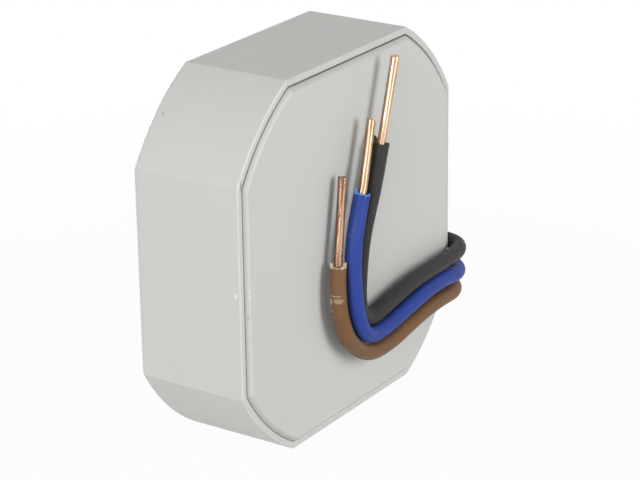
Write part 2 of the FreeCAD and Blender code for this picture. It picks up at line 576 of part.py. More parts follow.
def make_relay():
    """The relay hangs from the board; its heights count from the board face."""
    corner = ("relay_across", "relay_up", f"{BOARD} - relay_height")
    size = ("relay_length", "relay_width", "relay_height - stand_off")
    shell = moulded_box("RelayCaseBlock", corner, size, "relay_round")
    wide = "relay_width - 2*relay_wall"
    room = relay_plate("RelayCaseRoom", "relay_wall", "relay_length - 2*relay_wall", wide,
                       "relay_height - relay_wall", "relay_height")
    subpart("relay_case", cut("RelayCase", shell, room))

    limb = "yoke_across + yoke_thickness/2"
    coil_pin_row = "relay_across + coil_pin_across"
    pins = {
        "Yoke": (f"relay_across + {limb}", RELAY_MIDDLE, BASE_TOP),
        "Fixed": ("relay_across + terminal_across", RELAY_MIDDLE, BASE_TOP),
        "CoilLow": (coil_pin_row, f"{RELAY_MIDDLE} - coil_pin_spread", "coil_pin_height"),
        "CoilHigh": (coil_pin_row, f"{RELAY_MIDDLE} + coil_pin_spread", "coil_pin_height"),
    }
    pin = {}
    holes = []
    for name, (across, up, top) in pins.items():
        pin[name] = straight_leg(f"Relay{name}Pin", across, up, f"({BOARD} - {top})")
        deep = (across, up, f"{BOARD} - relay_height")
        holes.append(rod(f"Relay{name}PinHole", deep, "pin_radius + seat_play", "relay_height"))
    subpart("relay_coil_pins", group("RelayCoilPins", pin["CoilLow"], pin["CoilHigh"]))

    inset = "(relay_wall + relay_play)"
    plate = relay_plate("RelayBasePlate", inset, f"relay_length - 2*{inset}", f"relay_width - 2*{inset}",
                        BASE_TOP, "relay_base_height")
    subpart("relay_base", cut("RelayBase", plate, *holes))

    foot = relay_plate("YokeFoot", "yoke_across", "yoke_length", "yoke_width", FOOT_TOP, "yoke_thickness")
    edge = "(armature_height - armature_play)"
    limb_plate = relay_plate("YokeLimb", "yoke_across", "yoke_thickness", "yoke_width", edge,
                             f"{edge} - {BASE_TOP}")
    subpart("relay_yoke", fuse("Yoke", foot, limb_plate, pin["Yoke"]))

    shank = rod("CoreShank", relay_at("core_across", POLE), "core_radius", f"{POLE} - {FOOT_TOP}")
    head = rod("CoreHead", relay_at("core_across", POLE), "core_head_radius", "core_head_height")
    subpart("relay_core", fuse("Core", shank, head))

    low = rod("FlangeLow", relay_at("core_across", f"{FOOT_TOP} + flange_thickness"), "flange_radius",
              "flange_thickness")
    high = rod("FlangeHigh", relay_at("core_across", HEAD_UNDER), "flange_radius", "flange_thickness")
    tube = rod("BobbinTube", relay_at("core_across", HEAD_UNDER), "core_radius + bobbin_wall",
               f"{HEAD_UNDER} - {FOOT_TOP}")
    shelf_length = "coil_pin_across + pin_radius + shelf_margin - core_across - core_radius"
    shelf_width = "2*(coil_pin_spread + pin_radius) + shelf_margin"
    shelf = relay_plate("BobbinShelf", "core_across + core_radius", shelf_length, shelf_width,
                        f"{FOOT_TOP} + flange_thickness", "flange_thickness")
    bore = rod("BobbinBore", relay_at("core_across", "relay_height"), "core_radius + seat_play",
               "relay_height")
    subpart("relay_bobbin", cut("Bobbin", fuse("BobbinBlock", low, high, tube, shelf), bore, *holes[2:]))

    coil_top = f"({HEAD_UNDER} - flange_thickness)"
    coil_height = f"{coil_top} - {FOOT_TOP} - flange_thickness"
    winding = rod("CoilBlock", relay_at("core_across", coil_top), "coil_radius", coil_height)
    inside = rod("CoilInside", relay_at("core_across", coil_top), "core_radius + bobbin_wall + seat_play",
                 coil_height)
    subpart("relay_coil", cut("Coil", winding, inside))

    armature = relay_plate("Armature", "yoke_across", "armature_length", "yoke_width - 4*armature_play",
                           LEAF_UNDER, "yoke_thickness")
    subpart("relay_armature", group("ArmaturePlate", armature))

    leaf_top = f"({LEAF_UNDER} + leaf_thickness)"
    leaf = relay_plate("LeafPlate", "yoke_across + yoke_thickness", "leaf_length - yoke_thickness",
                       "leaf_width", leaf_top, "leaf_thickness")
    leaf_hole = rod("LeafHole", relay_at("contact_across", leaf_top), "contact_radius/2 + seat_play",
                    "leaf_thickness")
    subpart("relay_contact_leaf", cut("Leaf", leaf, leaf_hole))
    face = rod("MovingFace", relay_at("contact_across", LEAF_UNDER), "contact_radius", "contact_height")
    neck = rod("MovingNeck", relay_at("contact_across", leaf_top), "contact_radius/2", "leaf_thickness")
    cap = rod("MovingCap", relay_at("contact_across", f"{leaf_top} + leaf_thickness"), "0.75*contact_radius",
              "leaf_thickness")
    subpart("relay_moving_contact", fuse("MovingContact", face, neck, cap))

    fixed = rod("FixedFace", relay_at("contact_across", f"{CONTACT_FOOT} + contact_height"), "contact_radius",
                "contact_height")
    subpart("relay_fixed_contact", group("FixedContact", fixed))
    tab = relay_plate("TerminalTab", "contact_across - contact_radius",
                      "terminal_across + terminal_thickness/2 - contact_across + contact_radius",
                      "terminal_width", CONTACT_FOOT, "terminal_thickness")
    blade = relay_plate("TerminalBlade", "terminal_across - terminal_thickness/2", "terminal_thickness",
                        "terminal_width", CONTACT_FOOT, f"{CONTACT_FOOT} - {BASE_TOP}")
    subpart("relay_fixed_terminal", fuse("FixedTerminal", tab, blade, pin["Fixed"]))


TRIMMER_FACE = f"({BOARD} - stand_off - trimmer_height)"
ROTOR_FACE = f"({TRIMMER_FACE} - rotor_play - rotor_height)"


def dial_box(name, side, level, height):
    corner = (f"dial_across - ({side})/2", f"dial_up - ({side})/2", level)
    return box(name, corner, (side, side, height))


def dial_rod(name, level, radius, length):
    return rod(name, ("dial_across", "dial_up", level), radius, length)


def make_time_adjuster():
    block = dial_box("TrimmerBlock", "trimmer_side", TRIMMER_FACE, "trimmer_height")
    bore = dial_rod("TrimmerBore", TRIMMER_FACE, "hub_radius + rotor_play", "hub_length + rotor_play")
    subpart("trimmer_body", cut("TrimmerBody", block, bore))
    below = "dial_up - trimmer_pin_spread"
    pins = [
        straight_leg("TrimmerPinLeft", "dial_across - trimmer_pin_spread", below),
        straight_leg("TrimmerPinRight", "dial_across + trimmer_pin_spread", below),
        straight_leg("TrimmerPinTop", "dial_across", "dial_up + trimmer_pin_spread"),
    ]
    subpart("trimmer_pins", group("TrimmerPins", *pins))

    disc = dial_rod("RotorDisc", ROTOR_FACE, "rotor_radius", "rotor_height")
    hub = dial_rod("RotorHub", ROTOR_FACE, "hub_radius", "rotor_height + hub_length")
    socket = dial_box("RotorSocket", "knob_key + 2*seat_play", ROTOR_FACE, "knob_key_length")
    subpart("trimmer_rotor", cut("TrimmerRotor", fuse("RotorBlock", disc, hub), socket))

    face = "(dial_depth + knob_sink)"
    collar = "(back_wall + knob_collar_play)"
    shaft = "(back_wall + knob_collar_play + knob_collar_height)"
    pieces = [
        dial_rod("KnobFace", face, "knob_radius", f"{collar} - {face}"),
        dial_rod("KnobCollar", collar, "knob_collar_radius", "knob_collar_height"),
        dial_rod("KnobShaft", shaft, "knob_shaft_radius", f"{ROTOR_FACE} - {shaft}"),
        dial_box("KnobKey", "knob_key", ROTOR_FACE, "knob_key_length"),
    ]
    slot = box("KnobSlot", ("dial_across - knob_slot_length/2", "dial_up - knob_slot_width/2", face),
               ("knob_slot_length", "knob_slot_width", "knob_slot_depth"))
    subpart("time_knob", cut("TimeKnob", fuse("KnobBlock", *pieces), slot))


def make_supply():
    film_level = f"{BOARD} - stand_off - film_height"
    film = moulded_box("FilmCapacitor", ("film_across", "film_up", film_level),
                       ("film_length", "film_width", "film_height"), "component_round")
    subpart("film_capacitor", film)
    level = f"{BOARD} - stand_off - film_height/2"
    legs = [
        bent_leg(f"FilmLeg{tag}", (f"film_across + film_length/2 {sign} film_pitch/2", "film_up"), level,
                 "-leg_run", "y")
        for tag, sign in (("Left", "-"), ("Right", "+"))
    ]
    subpart("film_capacitor_legs", group("FilmLegs", *legs))

    level = f"{BOARD} - stand_off - can_radius"
    can = rod("Can", ("can_across", "can_up + can_bung", level), "can_radius", "can_length - can_bung", "y")
    subpart("electrolytic_capacitor", group("CanShell", can))
    bung = rod("Bung", ("can_across", "can_up", level), "can_radius - component_round", "can_bung", "y")
    subpart("electrolytic_bung", group("RubberBung", bung))
    legs = [
        bent_leg(f"CanLeg{tag}", (f"can_across {sign} can_pitch/2", "can_up"), level, "-leg_run", "y")
        for tag, sign in (("Left", "-"), ("Right", "+"))
    ]
    subpart("electrolytic_legs", group("CanLegs", *legs))

    level = f"{BOARD} - stand_off - disc_thickness"
    disc = rod("Disc", ("disc_across", "disc_up", level), "disc_radius", "disc_thickness")
    collars = []
    legs = []
    middle = f"{BOARD} - stand_off - disc_thickness/2"
    for tag, sign in (("Left", "-"), ("Right", "+")):
        across = f"disc_across {sign} disc_pitch/2"
        corner = (f"{across} - collar_side/2", "disc_up", f"{middle} - collar_side/2")
        collars.append(box(f"DiscCollar{tag}", corner, ("collar_side", "disc_radius", "collar_side")))
        legs.append(bent_leg(f"DiscLeg{tag}", (across, "disc_up + disc_radius"), middle, "leg_run", "y"))
    subpart("varistor", fuse("Varistor", disc, *collars))
    subpart("varistor_legs", group("DiscLegs", *legs))

    axial("fusible_resistor", "FusibleResistor", "fuse_across", "fuse_up", "fuse_length", "fuse_radius")
    diodes = [
        axial_parts("DiodeOne", "diode_one_across", "diode_one_up", "diode_length", "diode_radius"),
        axial_parts("DiodeTwo", "diode_two_across", "diode_two_up", "diode_length", "diode_radius"),
    ]
    subpart("rectifier_diodes", group("Diodes", *[barrel for barrel, legs in diodes]))
    subpart("rectifier_diode_legs", group("DiodeLegs", *[leg for barrel, legs in diodes for leg in legs]))
    axial("zener_diode", "ZenerDiode", "zener_across", "zener_up", "zener_length", "zener_radius")


def axial_parts(name, across, up, length, radius):
    """A barrel with a leg out of each end."""
    level = f"{BOARD} - stand_off - {radius}"
    left = f"{across} - {length}/2"
    right = f"{across} + {length}/2"
    barrel = rod(name + "Barrel", (left, up, level), radius, length, "x")
    legs = [
        bent_leg(name + "LegLeft", (left, up), level, "-leg_run", "x"),
        bent_leg(name + "LegRight", (right, up), level, "leg_run", "x"),
    ]
    return barrel, legs


def axial(label, name, across, up, length, radius):
    barrel, legs = axial_parts(name, across, up, length, radius)
    subpart(label, group(name, barrel))
    subpart(label + "_legs", group(name + "Legs", *legs))


def gull_leg(name, across, edge, side):
    """A flat leg that leaves a chip's side, turns down to the board and ends in a foot."""
    thick, wide, reach = "chip_leg_thickness", "chip_leg_width", "chip_leg_reach"
    left = f"{across} - {wide}/2"
    out = f"({reach}/2 + {thick})"
    shoulder_low = edge if side == "+" else f"{edge} - {out}"
    riser_low = f"{edge} + {out} - {thick}" if side == "+" else f"{edge} - {out}"
    foot_low = f"{edge} + {out} - {thick}" if side == "+" else f"{edge} - {reach}"
    shoulder_level = f"({BOARD} - stand_off - chip_height/2)"
    shoulder = box(name + "Shoulder", (left, shoulder_low, shoulder_level), (wide, out, thick))
    riser_height = f"{BOARD} - {shoulder_level}"
    riser = box(name + "Riser", (left, riser_low, shoulder_level), (wide, thick, riser_height))
    foot_length = f"{reach} - {out} + {thick}"
    foot = box(name + "Foot", (left, foot_low, f"{BOARD} - {thick}"), (wide, foot_length, thick))
    return fuse(name, shoulder, riser, foot)


DRIVER_WIDTH = "(chip_width/3)"


def make_control():
    level = f"{BOARD} - stand_off - chip_height"
    chip = box("ControlChip", ("chip_across - chip_length/2", "chip_up - chip_width/2", level),
               ("chip_length", "chip_width", "chip_height"))
    subpart("control_chip", group("ControlChipBody", chip))
    legs = []
    for at in range(4):
        across = f"chip_across + {at - 1.5}*chip_leg_pitch"
        legs.append(gull_leg(f"ChipLegLow{at}", across, "(chip_up - chip_width/2)", "-"))
        legs.append(gull_leg(f"ChipLegHigh{at}", across, "(chip_up + chip_width/2)", "+"))
    subpart("control_chip_legs", group("ChipLegs", *legs))

    driver_corner = ("switch_across - chip_height", f"switch_up - {DRIVER_WIDTH}/2", level)
    driver = box("DriverBody", driver_corner, ("2*chip_height", DRIVER_WIDTH, "chip_height"))
    subpart("driver_transistor", group("DriverTransistor", driver))
    low, high = f"(switch_up - {DRIVER_WIDTH}/2)", f"(switch_up + {DRIVER_WIDTH}/2)"
    legs = [
        gull_leg("DriverLegOne", "switch_across - 0.75*chip_leg_pitch", low, "-"),
        gull_leg("DriverLegTwo", "switch_across + 0.75*chip_leg_pitch", low, "-"),
        gull_leg("DriverLegThree", "switch_across", high, "+"),
    ]
    subpart("driver_transistor_legs", group("DriverLegs", *legs))


# Each piece of the two rows: its name, the row it stands in and its place in that row
SMALL_PIECES = [("Resistor", "near", at) for at in range(3)]
SMALL_PIECES += [("Resistor", "far", at) for at in range(2)]
SMALL_PIECES += [("Capacitor", "far", at) for at in range(2, 4)]


def make_small_pieces():
    """Chip resistors and chip capacitors, with a metal end on both sides of each."""
    bodies = {"Resistor": [], "Capacitor": []}
    ends = []
    for kind, row, at in SMALL_PIECES:
        name = f"{kind}_{row}_{at}"
        left = f"{row}_row_across - small_length/2"
        low = f"{row}_row_up + {at}*row_pitch - small_width/2"
        top = f"{BOARD} - small_height"
        size = ("small_length - 2*small_cap", "small_width", "small_height")
        bodies[kind].append(box(name, (f"{left} + small_cap", low, top), size))
        for tag, start in (("_left", left), ("_right", f"{left} + small_length - small_cap")):
            ends.append(box(name + tag, (start, low, top), ("small_cap", "small_width", "small_height")))
    subpart("chip_resistors", group("ChipResistors", *bodies["Resistor"]))
    subpart("chip_capacitors", group("ChipCapacitors", *bodies["Capacitor"]))
    subpart("chip_end_caps", group("ChipEndCaps", *ends))


def make_board():
    """The board and the solder cones, once every leg is known."""
    body = doc.addObject("PartDesign::Body", "BoardPlate")
    outline = sketch_on(body, "BoardOutline", BOARD)
    draw_outline(outline, "(case_width/2 - wall - board_gap)", f"{CORNER} - wall - board_gap")
    feature(body, "Pad", "BoardBlock", outline, "board_thickness")
    reach = "(lead_pitch + lead_diameter/2 + board_notch_play)"
    notch = box("BoardNotch", ("board_notch", f"lead_height - case_width/2 - {reach}", BOARD),
                ("case_width/2", f"2*{reach}", "board_thickness"))
    holes = [
        rod(f"StubHole{tag}", (f"{left}{POST}", f"{down}{POST}", BOARD),
            "stub_radius + stub_clearance", "board_thickness")
        for tag, left, down in CORNERS
    ]
    cones = []
    for at, (across, up, radius) in enumerate(LEGS):
        holes.append(rod(f"LegHole{at}", (across, up, BOARD), f"{radius} + pin_hole_play", "board_thickness"))
        cone = doc.addObject("Part::Cone", f"SolderCone{at}")
        bind(cone, Radius1=f"{radius} + fillet_width", Radius2=f"{radius} + fillet_width/5")
        bind(cone, Height="fillet_height")
        place(cone, across, up, SOLDER)
        leg = rod(f"SolderLeg{at}", (across, up, SOLDER), f"{radius} + seat_play", "fillet_height")
        cones.append(cut(f"SolderJoint{at}", cone, leg))
    subpart("circuit_board", cut("CircuitBoard", body, notch, *holes))
    subpart("solder_cones", group("SolderCones", *cones))


MOUND_TOP = "(lead_float + conductor_diameter + mound_cover)"


def make_lead_solder():
    """The mound of solder that holds each conductor flat on the board."""
    mounds = []
    for at in (-1, 0, 1):
        up = f"lead_height - case_width/2 + {at}*lead_pitch"
        across = "board_notch - lead_bare_inside/2"
        mound = doc.addObject("Part::Ellipsoid", f"Mound{at + 1}")
        bind(mound, Radius1=MOUND_TOP, Radius2="mound_length/2", Radius3="mound_width/2")
        place(mound, across, up, SOLDER)
        corner = (f"{across} - mound_length", f"{up} - mound_width", f"{SOLDER} - 2*{MOUND_TOP}")
        below = box(f"MoundBelow{at + 1}", corner, ("2*mound_length", "2*mound_width", f"2*{MOUND_TOP}"))
        wire = rod(f"MoundWire{at + 1}", (f"{across} - mound_length", up, LEAD_LEVEL),
                   "conductor_diameter/2 + seat_play", "2*mound_length", "x")
        mounds.append(cut(f"LeadSolder{at + 1}", mound, fuse(f"MoundTools{at + 1}", below, wire)))
    subpart("lead_solder", group("LeadSolder", *mounds))


# Routes of the leads as they lie in the finished part: from inside the outlet round the rim, across the
# cover, up again and to the cut of the insulation; then the tip of the bare conductor
ROUTES = {
    "black": (
        [(20.4, -5.2, 15.5), (25.3, -5.2, 15.5), (25.3, -9.5, 14.8), (16.71, -10.0, 14.85),
         (10.78, -9.85, 14.44), (5.46, -9.55, 13.7), (0.35, -9.35, 12.35), (-1.5, -9.4, 15.4),
         (-1.6, -9.8, 20.45), (-1.01, -10.05, 25.4), (1.07, -10.3, 30.65), (2.71, -10.4, 36.0)],
        (5.94, -10.5, 46.69),
    ),
    "blue": (
        [(20.4, -5.2, 12.8), (25.2, -5.2, 12.8), (25.2, -9.4, 11.4), (16.4, -10.45, 12.65),
         (9.78, -10.6, 12.35), (4.4, -10.9, 11.05), (-1.0, -11.0, 11.15), (-3.9, -10.95, 14.8),
         (-4.6, -10.9, 19.35), (-4.4, -10.75, 24.98), (-1.92, -10.5, 30.88)],
        (0.56, -10.4, 39.99),
    ),
    "brown": (
        [(20.4, -5.2, 10.1), (25.1, -5.2, 10.1), (25.1, -8.7, 8.7), (16.89, -9.95, 9.9),
         (10.77, -10.05, 9.3), (5.35, -10.1, 8.3), (-0.25, -10.1, 8.4), (-4.75, -10.1, 11.95),
         (-6.55, -10.1, 16.07), (-6.85, -10.0, 19.63), (-6.6, -9.95, 22.79)],
        (-5.02, -9.7, 33.86),
    ),
}


# How much of the shorter run beside a corner its arc takes
BEND_SHARE = 0.45


def round_path(points):
    """Straight runs joined by tangent arcs: the edges, and the radius of every arc."""
    edges = []
    radii = []
    at = points[0]
    for before, corner, after in zip(points, points[1:], points[2:]):
        back = (before - corner).normalize()
        onward = (after - corner).normalize()
        reach = BEND_SHARE * min((before - corner).Length, (after - corner).Length)
        turn = math.pi - back.getAngle(onward)
        radius = reach / math.tan(turn / 2)
        start = corner + back * reach
        stop = corner + onward * reach
        bisector = (back + onward).normalize()
        middle = corner + bisector * (radius / math.cos(turn / 2) - radius)
        edges.append(Part.LineSegment(at, start).toShape())
        edges.append(Part.Arc(start, middle, stop).toShape())
        radii.append(radius)
        at = stop
    edges.append(Part.LineSegment(at, points[-1]).toShape())
    return edges, radii


def bare_end(cut_at, heading, tip):
    """The conductor past the cut: it leaves straight on, bends once and runs straight to its tip."""
    bend = cut_at + heading * VALUE["bend_after_cut"]
    onward = (tip - bend).normalize()
    reach = VALUE["bend_reach"]
    turn = heading.getAngle(onward)
    radius = reach / math.tan(turn / 2)
    start = bend - heading * reach
    stop = bend + onward * reach
    bisector = (onward - heading).normalize()
    middle = bend + bisector * (radius / math.cos(turn / 2) - radius)
    return [
        Part.LineSegment(cut_at, start).toShape(),
        Part.Arc(start, middle, stop).toShape(),
        Part.LineSegment(stop, tip).toShape(),
    ]


def disc_face(centre, normal, outer, inner=0.0):
    ring = Part.Wire(Part.makeCircle(outer, centre, normal))
    if not inner:
        return Part.Face(ring)
    return Part.Face(ring).cut(Part.Face(Part.Wire(Part.makeCircle(inner, centre, normal)))).Faces[0]


def sweep(label, edges, outer, inner=0.0):
    """A tube along the path, checked against its section times its length."""
    path = Part.Wire(edges)
    start = edges[0].Vertexes[0].Point
    normal = edges[0].tangentAt(edges[0].FirstParameter)
    solid = path.makePipe(disc_face(start, normal, outer, inner))
    wanted = math.pi * (outer ** 2 - inner ** 2) * path.Length
    print(f"{label}: length {path.Length:.2f}, volume {solid.Volume:.3f}, section times length {wanted:.3f}")
    if abs(solid.Volume / wanted - 1) > 0.005:
        raise RuntimeError(f"{label} is not a clean tube")
    piece = doc.addObject("Part::Feature", label)
    piece.Shape = solid
    piece.Placement = App.Placement()
    piece.Label = label
    SUBPARTS.append(piece)
    return piece


def make_leads():
    copper = VALUE["conductor_diameter"] / 2
    for colour, (points, tip) in ROUTES.items():
        points = [Vector(*point) for point in points]
        edges, radii = round_path(points)
        print(colour, "radii", " ".join(f"{radius:.1f}" for radius in radii))
        sweep(f"{colour}_insulation", edges, VALUE["lead_diameter"] / 2, copper + VALUE["seat_play"])
        inner_end = points[0] - Vector(VALUE["lead_bare_inside"], 0, 0)
        heading = (points[-1] - points[-2]).normalize()
        inside = Part.LineSegment(inner_end, points[0]).toShape()
        sweep(f"{colour}_conductor", [inside, *edges, *bare_end(points[-1], heading, Vector(*tip))], copper)


def check_and_write():
    doc.recompute()
    for item in doc.Objects:
        if {"Invalid", "Error"} & set(item.State):
            raise RuntimeError(f"{item.Name} failed: {item.State}")
    os.makedirs("parts", exist_ok=True)
    for item in SUBPARTS:
        if item.Shape.isNull() or not item.Shape.isValid() or not item.Shape.Solids:
            raise RuntimeError(f"{item.Label} has no valid shape")
    for item in SUBPARTS:
        item.Shape.exportStep(f"parts/{item.Label}.step")
    print(len(SUBPARTS), "sub-parts")


make_housing()
make_cover()
make_relay()
make_time_adjuster()
make_supply()
make_control()
make_small_pieces()
make_board()
make_lead_solder()
make_leads()
check_and_write()
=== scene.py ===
"""Looks of the staircase timer module: finishes, leads, dial scale, light and camera, in metres."""
import json
import math
import random

import bpy
from mathutils import Matrix, Vector


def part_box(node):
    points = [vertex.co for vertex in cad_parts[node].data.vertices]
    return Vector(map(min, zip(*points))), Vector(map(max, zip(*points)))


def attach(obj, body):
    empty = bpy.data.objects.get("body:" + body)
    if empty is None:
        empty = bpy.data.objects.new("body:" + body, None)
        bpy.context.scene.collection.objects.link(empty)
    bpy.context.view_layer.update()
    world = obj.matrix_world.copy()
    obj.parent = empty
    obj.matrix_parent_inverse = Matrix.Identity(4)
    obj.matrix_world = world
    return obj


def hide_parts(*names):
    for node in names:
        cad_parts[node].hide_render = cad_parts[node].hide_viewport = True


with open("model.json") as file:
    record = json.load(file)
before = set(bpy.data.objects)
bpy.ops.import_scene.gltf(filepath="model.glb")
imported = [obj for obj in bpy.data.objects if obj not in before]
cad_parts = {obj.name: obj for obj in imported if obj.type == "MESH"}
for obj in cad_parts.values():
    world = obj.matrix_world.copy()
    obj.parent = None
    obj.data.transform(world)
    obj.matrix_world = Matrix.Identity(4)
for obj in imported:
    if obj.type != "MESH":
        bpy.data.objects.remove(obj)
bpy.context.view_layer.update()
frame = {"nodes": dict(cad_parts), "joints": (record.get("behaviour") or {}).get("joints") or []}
MM = 0.001


def placed(name, data):
    """A new object that holds the data, linked to the scene."""
    piece = bpy.data.objects.new(name, data)
    bpy.context.scene.collection.objects.link(piece)
    return piece


# Camera: the module stands on its bottom flat, seen from the left and a little above
TARGET = Vector((4.313, 0.0, 20.618)) * MM
AZIMUTH = math.radians(-56.169)
ELEVATION = math.radians(20.845)
ROLL = math.radians(-0.7805)
DISTANCE = 311.445 * MM
LENS = 135.73
CLIP_RATIO = 20


def make_camera():
    camera = placed("camera", bpy.data.cameras.new("camera"))
    camera.data.lens = LENS
    camera.data.clip_start = DISTANCE / CLIP_RATIO
    camera.data.clip_end = DISTANCE * CLIP_RATIO
    level = math.cos(ELEVATION)
    back = Vector((math.sin(AZIMUTH) * level, -math.cos(AZIMUTH) * level, math.sin(ELEVATION)))
    side = Vector((math.cos(AZIMUTH), math.sin(AZIMUTH), 0))
    up = back.cross(side)
    right = math.cos(ROLL) * side + math.sin(ROLL) * up
    over = math.cos(ROLL) * up - math.sin(ROLL) * side
    place = Matrix((right, over, back)).transposed().to_4x4()
    place.translation = TARGET + back * DISTANCE
    camera.matrix_world = place
    bpy.context.scene.camera = camera


make_camera()


# Node trees

# The middle of a noise, and the two values between which most of it lies
NOISE_MIDDLE = 0.5
NOISE_LOW = 0.3
NOISE_HIGH = 0.7


class Graph:
    """Adds nodes to a tree and wires them by the names of their sockets."""

    def __init__(self, tree):
        self.tree = tree

    def add(self, kind, feeds=(), **settings):
        node = self.tree.nodes.new("ShaderNode" + kind)
        for name, value in settings.items():
            setattr(node, name, value)
        self.feed_all(node, dict(feeds))
        return node

    def feed(self, node, name, value):
        if isinstance(value, bpy.types.NodeSocket):
            self.tree.links.new(value, node.inputs[name])
        else:
            node.inputs[name].default_value = value

    def feed_all(self, node, feeds):
        for name, value in feeds.items():
            self.feed(node, name, value)

    def math(self, operation, one, two=0.0):
        return self.add("Math", {0: one, 1: two}, operation=operation).outputs[0]

    def total(self, one, two):
        return self.math("ADD", one, two)

    def difference(self, one, two):
        return self.math("SUBTRACT", one, two)

    def product(self, one, two):
        return self.math("MULTIPLY", one, two)

    def vector_math(self, operation, one, two=(0, 0, 0)):
        node = self.add("VectorMath", {0: one, 1: two}, operation=operation)
        return node.outputs["Value" if operation == "LENGTH" else "Vector"]

    def part(self, place, axis):
        return self.add("SeparateXYZ", {"Vector": place}).outputs[axis]

    def ramp(self, value, low, high, to_low=0.0, to_high=1.0):
        """A smooth step from low to high."""
        feeds = {"Value": value, "From Min": low, "From Max": high, "To Min": to_low, "To Max": to_high}
        return self.add("MapRange", feeds, interpolation_type="SMOOTHSTEP").outputs["Result"]

    def spread(self, tone, low, high):
        """A value that goes from low to high as a noise goes over its usual range."""
        return self.ramp(tone, NOISE_LOW, NOISE_HIGH, low, high)

    def mix(self, share, one, two):
        """A colour between two others, each a socket or a plain colour."""
        node = self.add("Mix", data_type="RGBA")
        for at, value in ((0, share), (6, one), (7, two)):
            self.feed(node, at, (*value, 1) if isinstance(value, tuple) else value)
        return node.outputs[2]

    def noise(self, at, scale, detail=2.0, roughness=0.5):
        feeds = {"Vector": at, "Scale": scale, "Detail": detail, "Roughness": roughness}
        return self.add("TexNoise", feeds).outputs["Fac"]

    def ragged(self, at, scale, width, detail=2.0):
        """A noise about zero that reaches half the width to either side."""
        return self.product(self.difference(self.noise(at, scale, detail), NOISE_MIDDLE), width)

    def group(self, name, feeds):
        """The outputs of a node group that gets these values."""
        node = self.tree.nodes.new("ShaderNodeGroup")
        node.node_tree = bpy.data.node_groups[name]
        self.feed_all(node, feeds)
        return node.outputs


def new_group(name, inputs, outputs):
    """An empty node group: its graph, its input sockets and its output node.

    Its first input is always the place. The others come with their usual values."""
    tree = bpy.data.node_groups.new(name, "ShaderNodeTree")
    tree.interface.new_socket("Place", in_out="INPUT", socket_type="NodeSocketVector")
    for label, value in inputs.items():
        kind = "NodeSocketVector" if isinstance(value, tuple) else "NodeSocketFloat"
        tree.interface.new_socket(label, in_out="INPUT", socket_type=kind).default_value = value
    for label in outputs:
        tree.interface.new_socket(label, in_out="OUTPUT", socket_type="NodeSocketFloat")
    return Graph(tree), tree.nodes.new("NodeGroupInput").outputs, tree.nodes.new("NodeGroupOutput")


# Scales of patterns, in cells per metre
WIDE_CLOUDS = 90.0
SMALL_CLOUDS = 420.0
BAND_TEARS = 3000.0
SPOT_TEARS = 2500.0
COPPER_TRACKS = 420.0
GLASS_WEAVE = 2600.0


def group_moulded_skin():
    """The fine spark grain and slight clouds of a moulded surface. Size is the grain in metres."""
    inputs = {"Size": 0.00015, "Clouds": 0.02}
    graph, given, out = new_group("moulded skin", inputs, ["Height", "Tone", "Gloss"])
    grain = graph.noise(given["Place"], graph.math("DIVIDE", 1.0, given["Size"]), 3.0, 0.6)
    cloud = graph.noise(given["Place"], WIDE_CLOUDS)
    patch = graph.noise(given["Place"], SMALL_CLOUDS, 3.0, 0.55)
    shade = graph.total(graph.product(cloud, 0.7), graph.product(patch, 0.3))
    strength = graph.product(given["Clouds"], 4.0)
    lean = graph.product(graph.difference(shade, NOISE_MIDDLE), strength)
    graph.feed_all(out, {"Height": grain, "Tone": graph.total(1.0, lean), "Gloss": patch})


def group_specks():
    """Sparse specks of dust or of foreign grains, in metres. Share is the part of the cells with one."""
    inputs = {"Spacing": 0.004, "Size": 0.0001, "Share": 0.3}
    graph, given, out = new_group("specks", inputs, ["Mask"])
    scale = graph.math("DIVIDE", 1.0, given["Spacing"])
    cells = graph.add("TexVoronoi", {"Vector": given["Place"], "Scale": scale}, feature="F1").outputs
    reach = graph.product(cells["Distance"], given["Spacing"])
    near = graph.math("LESS_THAN", reach, given["Size"])
    draw = graph.add("SeparateColor", {"Color": cells["Color"]}).outputs[0]
    chosen = graph.math("LESS_THAN", draw, given["Share"])
    graph.feed_all(out, {"Mask": graph.product(near, chosen)})


def group_patches():
    """Soft cloudy patches: 1 inside them. Size is in metres, Share moves their edge."""
    graph, given, out = new_group("patches", {"Size": 0.002, "Share": 0.5}, ["Mask", "Tone"])
    tone = graph.noise(given["Place"], graph.math("DIVIDE", 1.0, given["Size"]), 4.0, 0.6)
    low = graph.difference(0.95, graph.product(given["Share"], 0.8))
    mask = graph.ramp(tone, low, graph.total(low, 0.12))
    graph.feed_all(out, {"Mask": mask, "Tone": tone})


def group_band():
    """A printed or moulded band round a body that lies along x, in metres, with a ragged edge."""
    graph, given, out = new_group("band", {"Middle": 0.0, "Width": 0.001}, ["Mask"])
    ragged = graph.ragged(given["Place"], BAND_TEARS, 0.08 * MM)
    along = graph.total(graph.part(given["Place"], "X"), ragged)
    away = graph.math("ABSOLUTE", graph.difference(along, given["Middle"]))
    graph.feed_all(out, {"Mask": graph.math("LESS_THAN", away, graph.product(given["Width"], 0.5))})


def group_mark():
    """One mark at a known place: 1 at its middle, 0 past its reach, with a torn outline."""
    inputs = {"Middle": (0, 0, 0), "Reach": (1, 1, 1), "Tear": 3.0}
    graph, given, out = new_group("mark", inputs, ["Mask"])
    step = graph.vector_math("SUBTRACT", given["Place"], given["Middle"])
    share = graph.vector_math("LENGTH", graph.vector_math("DIVIDE", step, given["Reach"]))
    torn = graph.total(share, graph.ragged(given["Place"], given["Tear"], 1.2))
    graph.feed_all(out, {"Mask": graph.ramp(torn, 1.0, 0.55)})


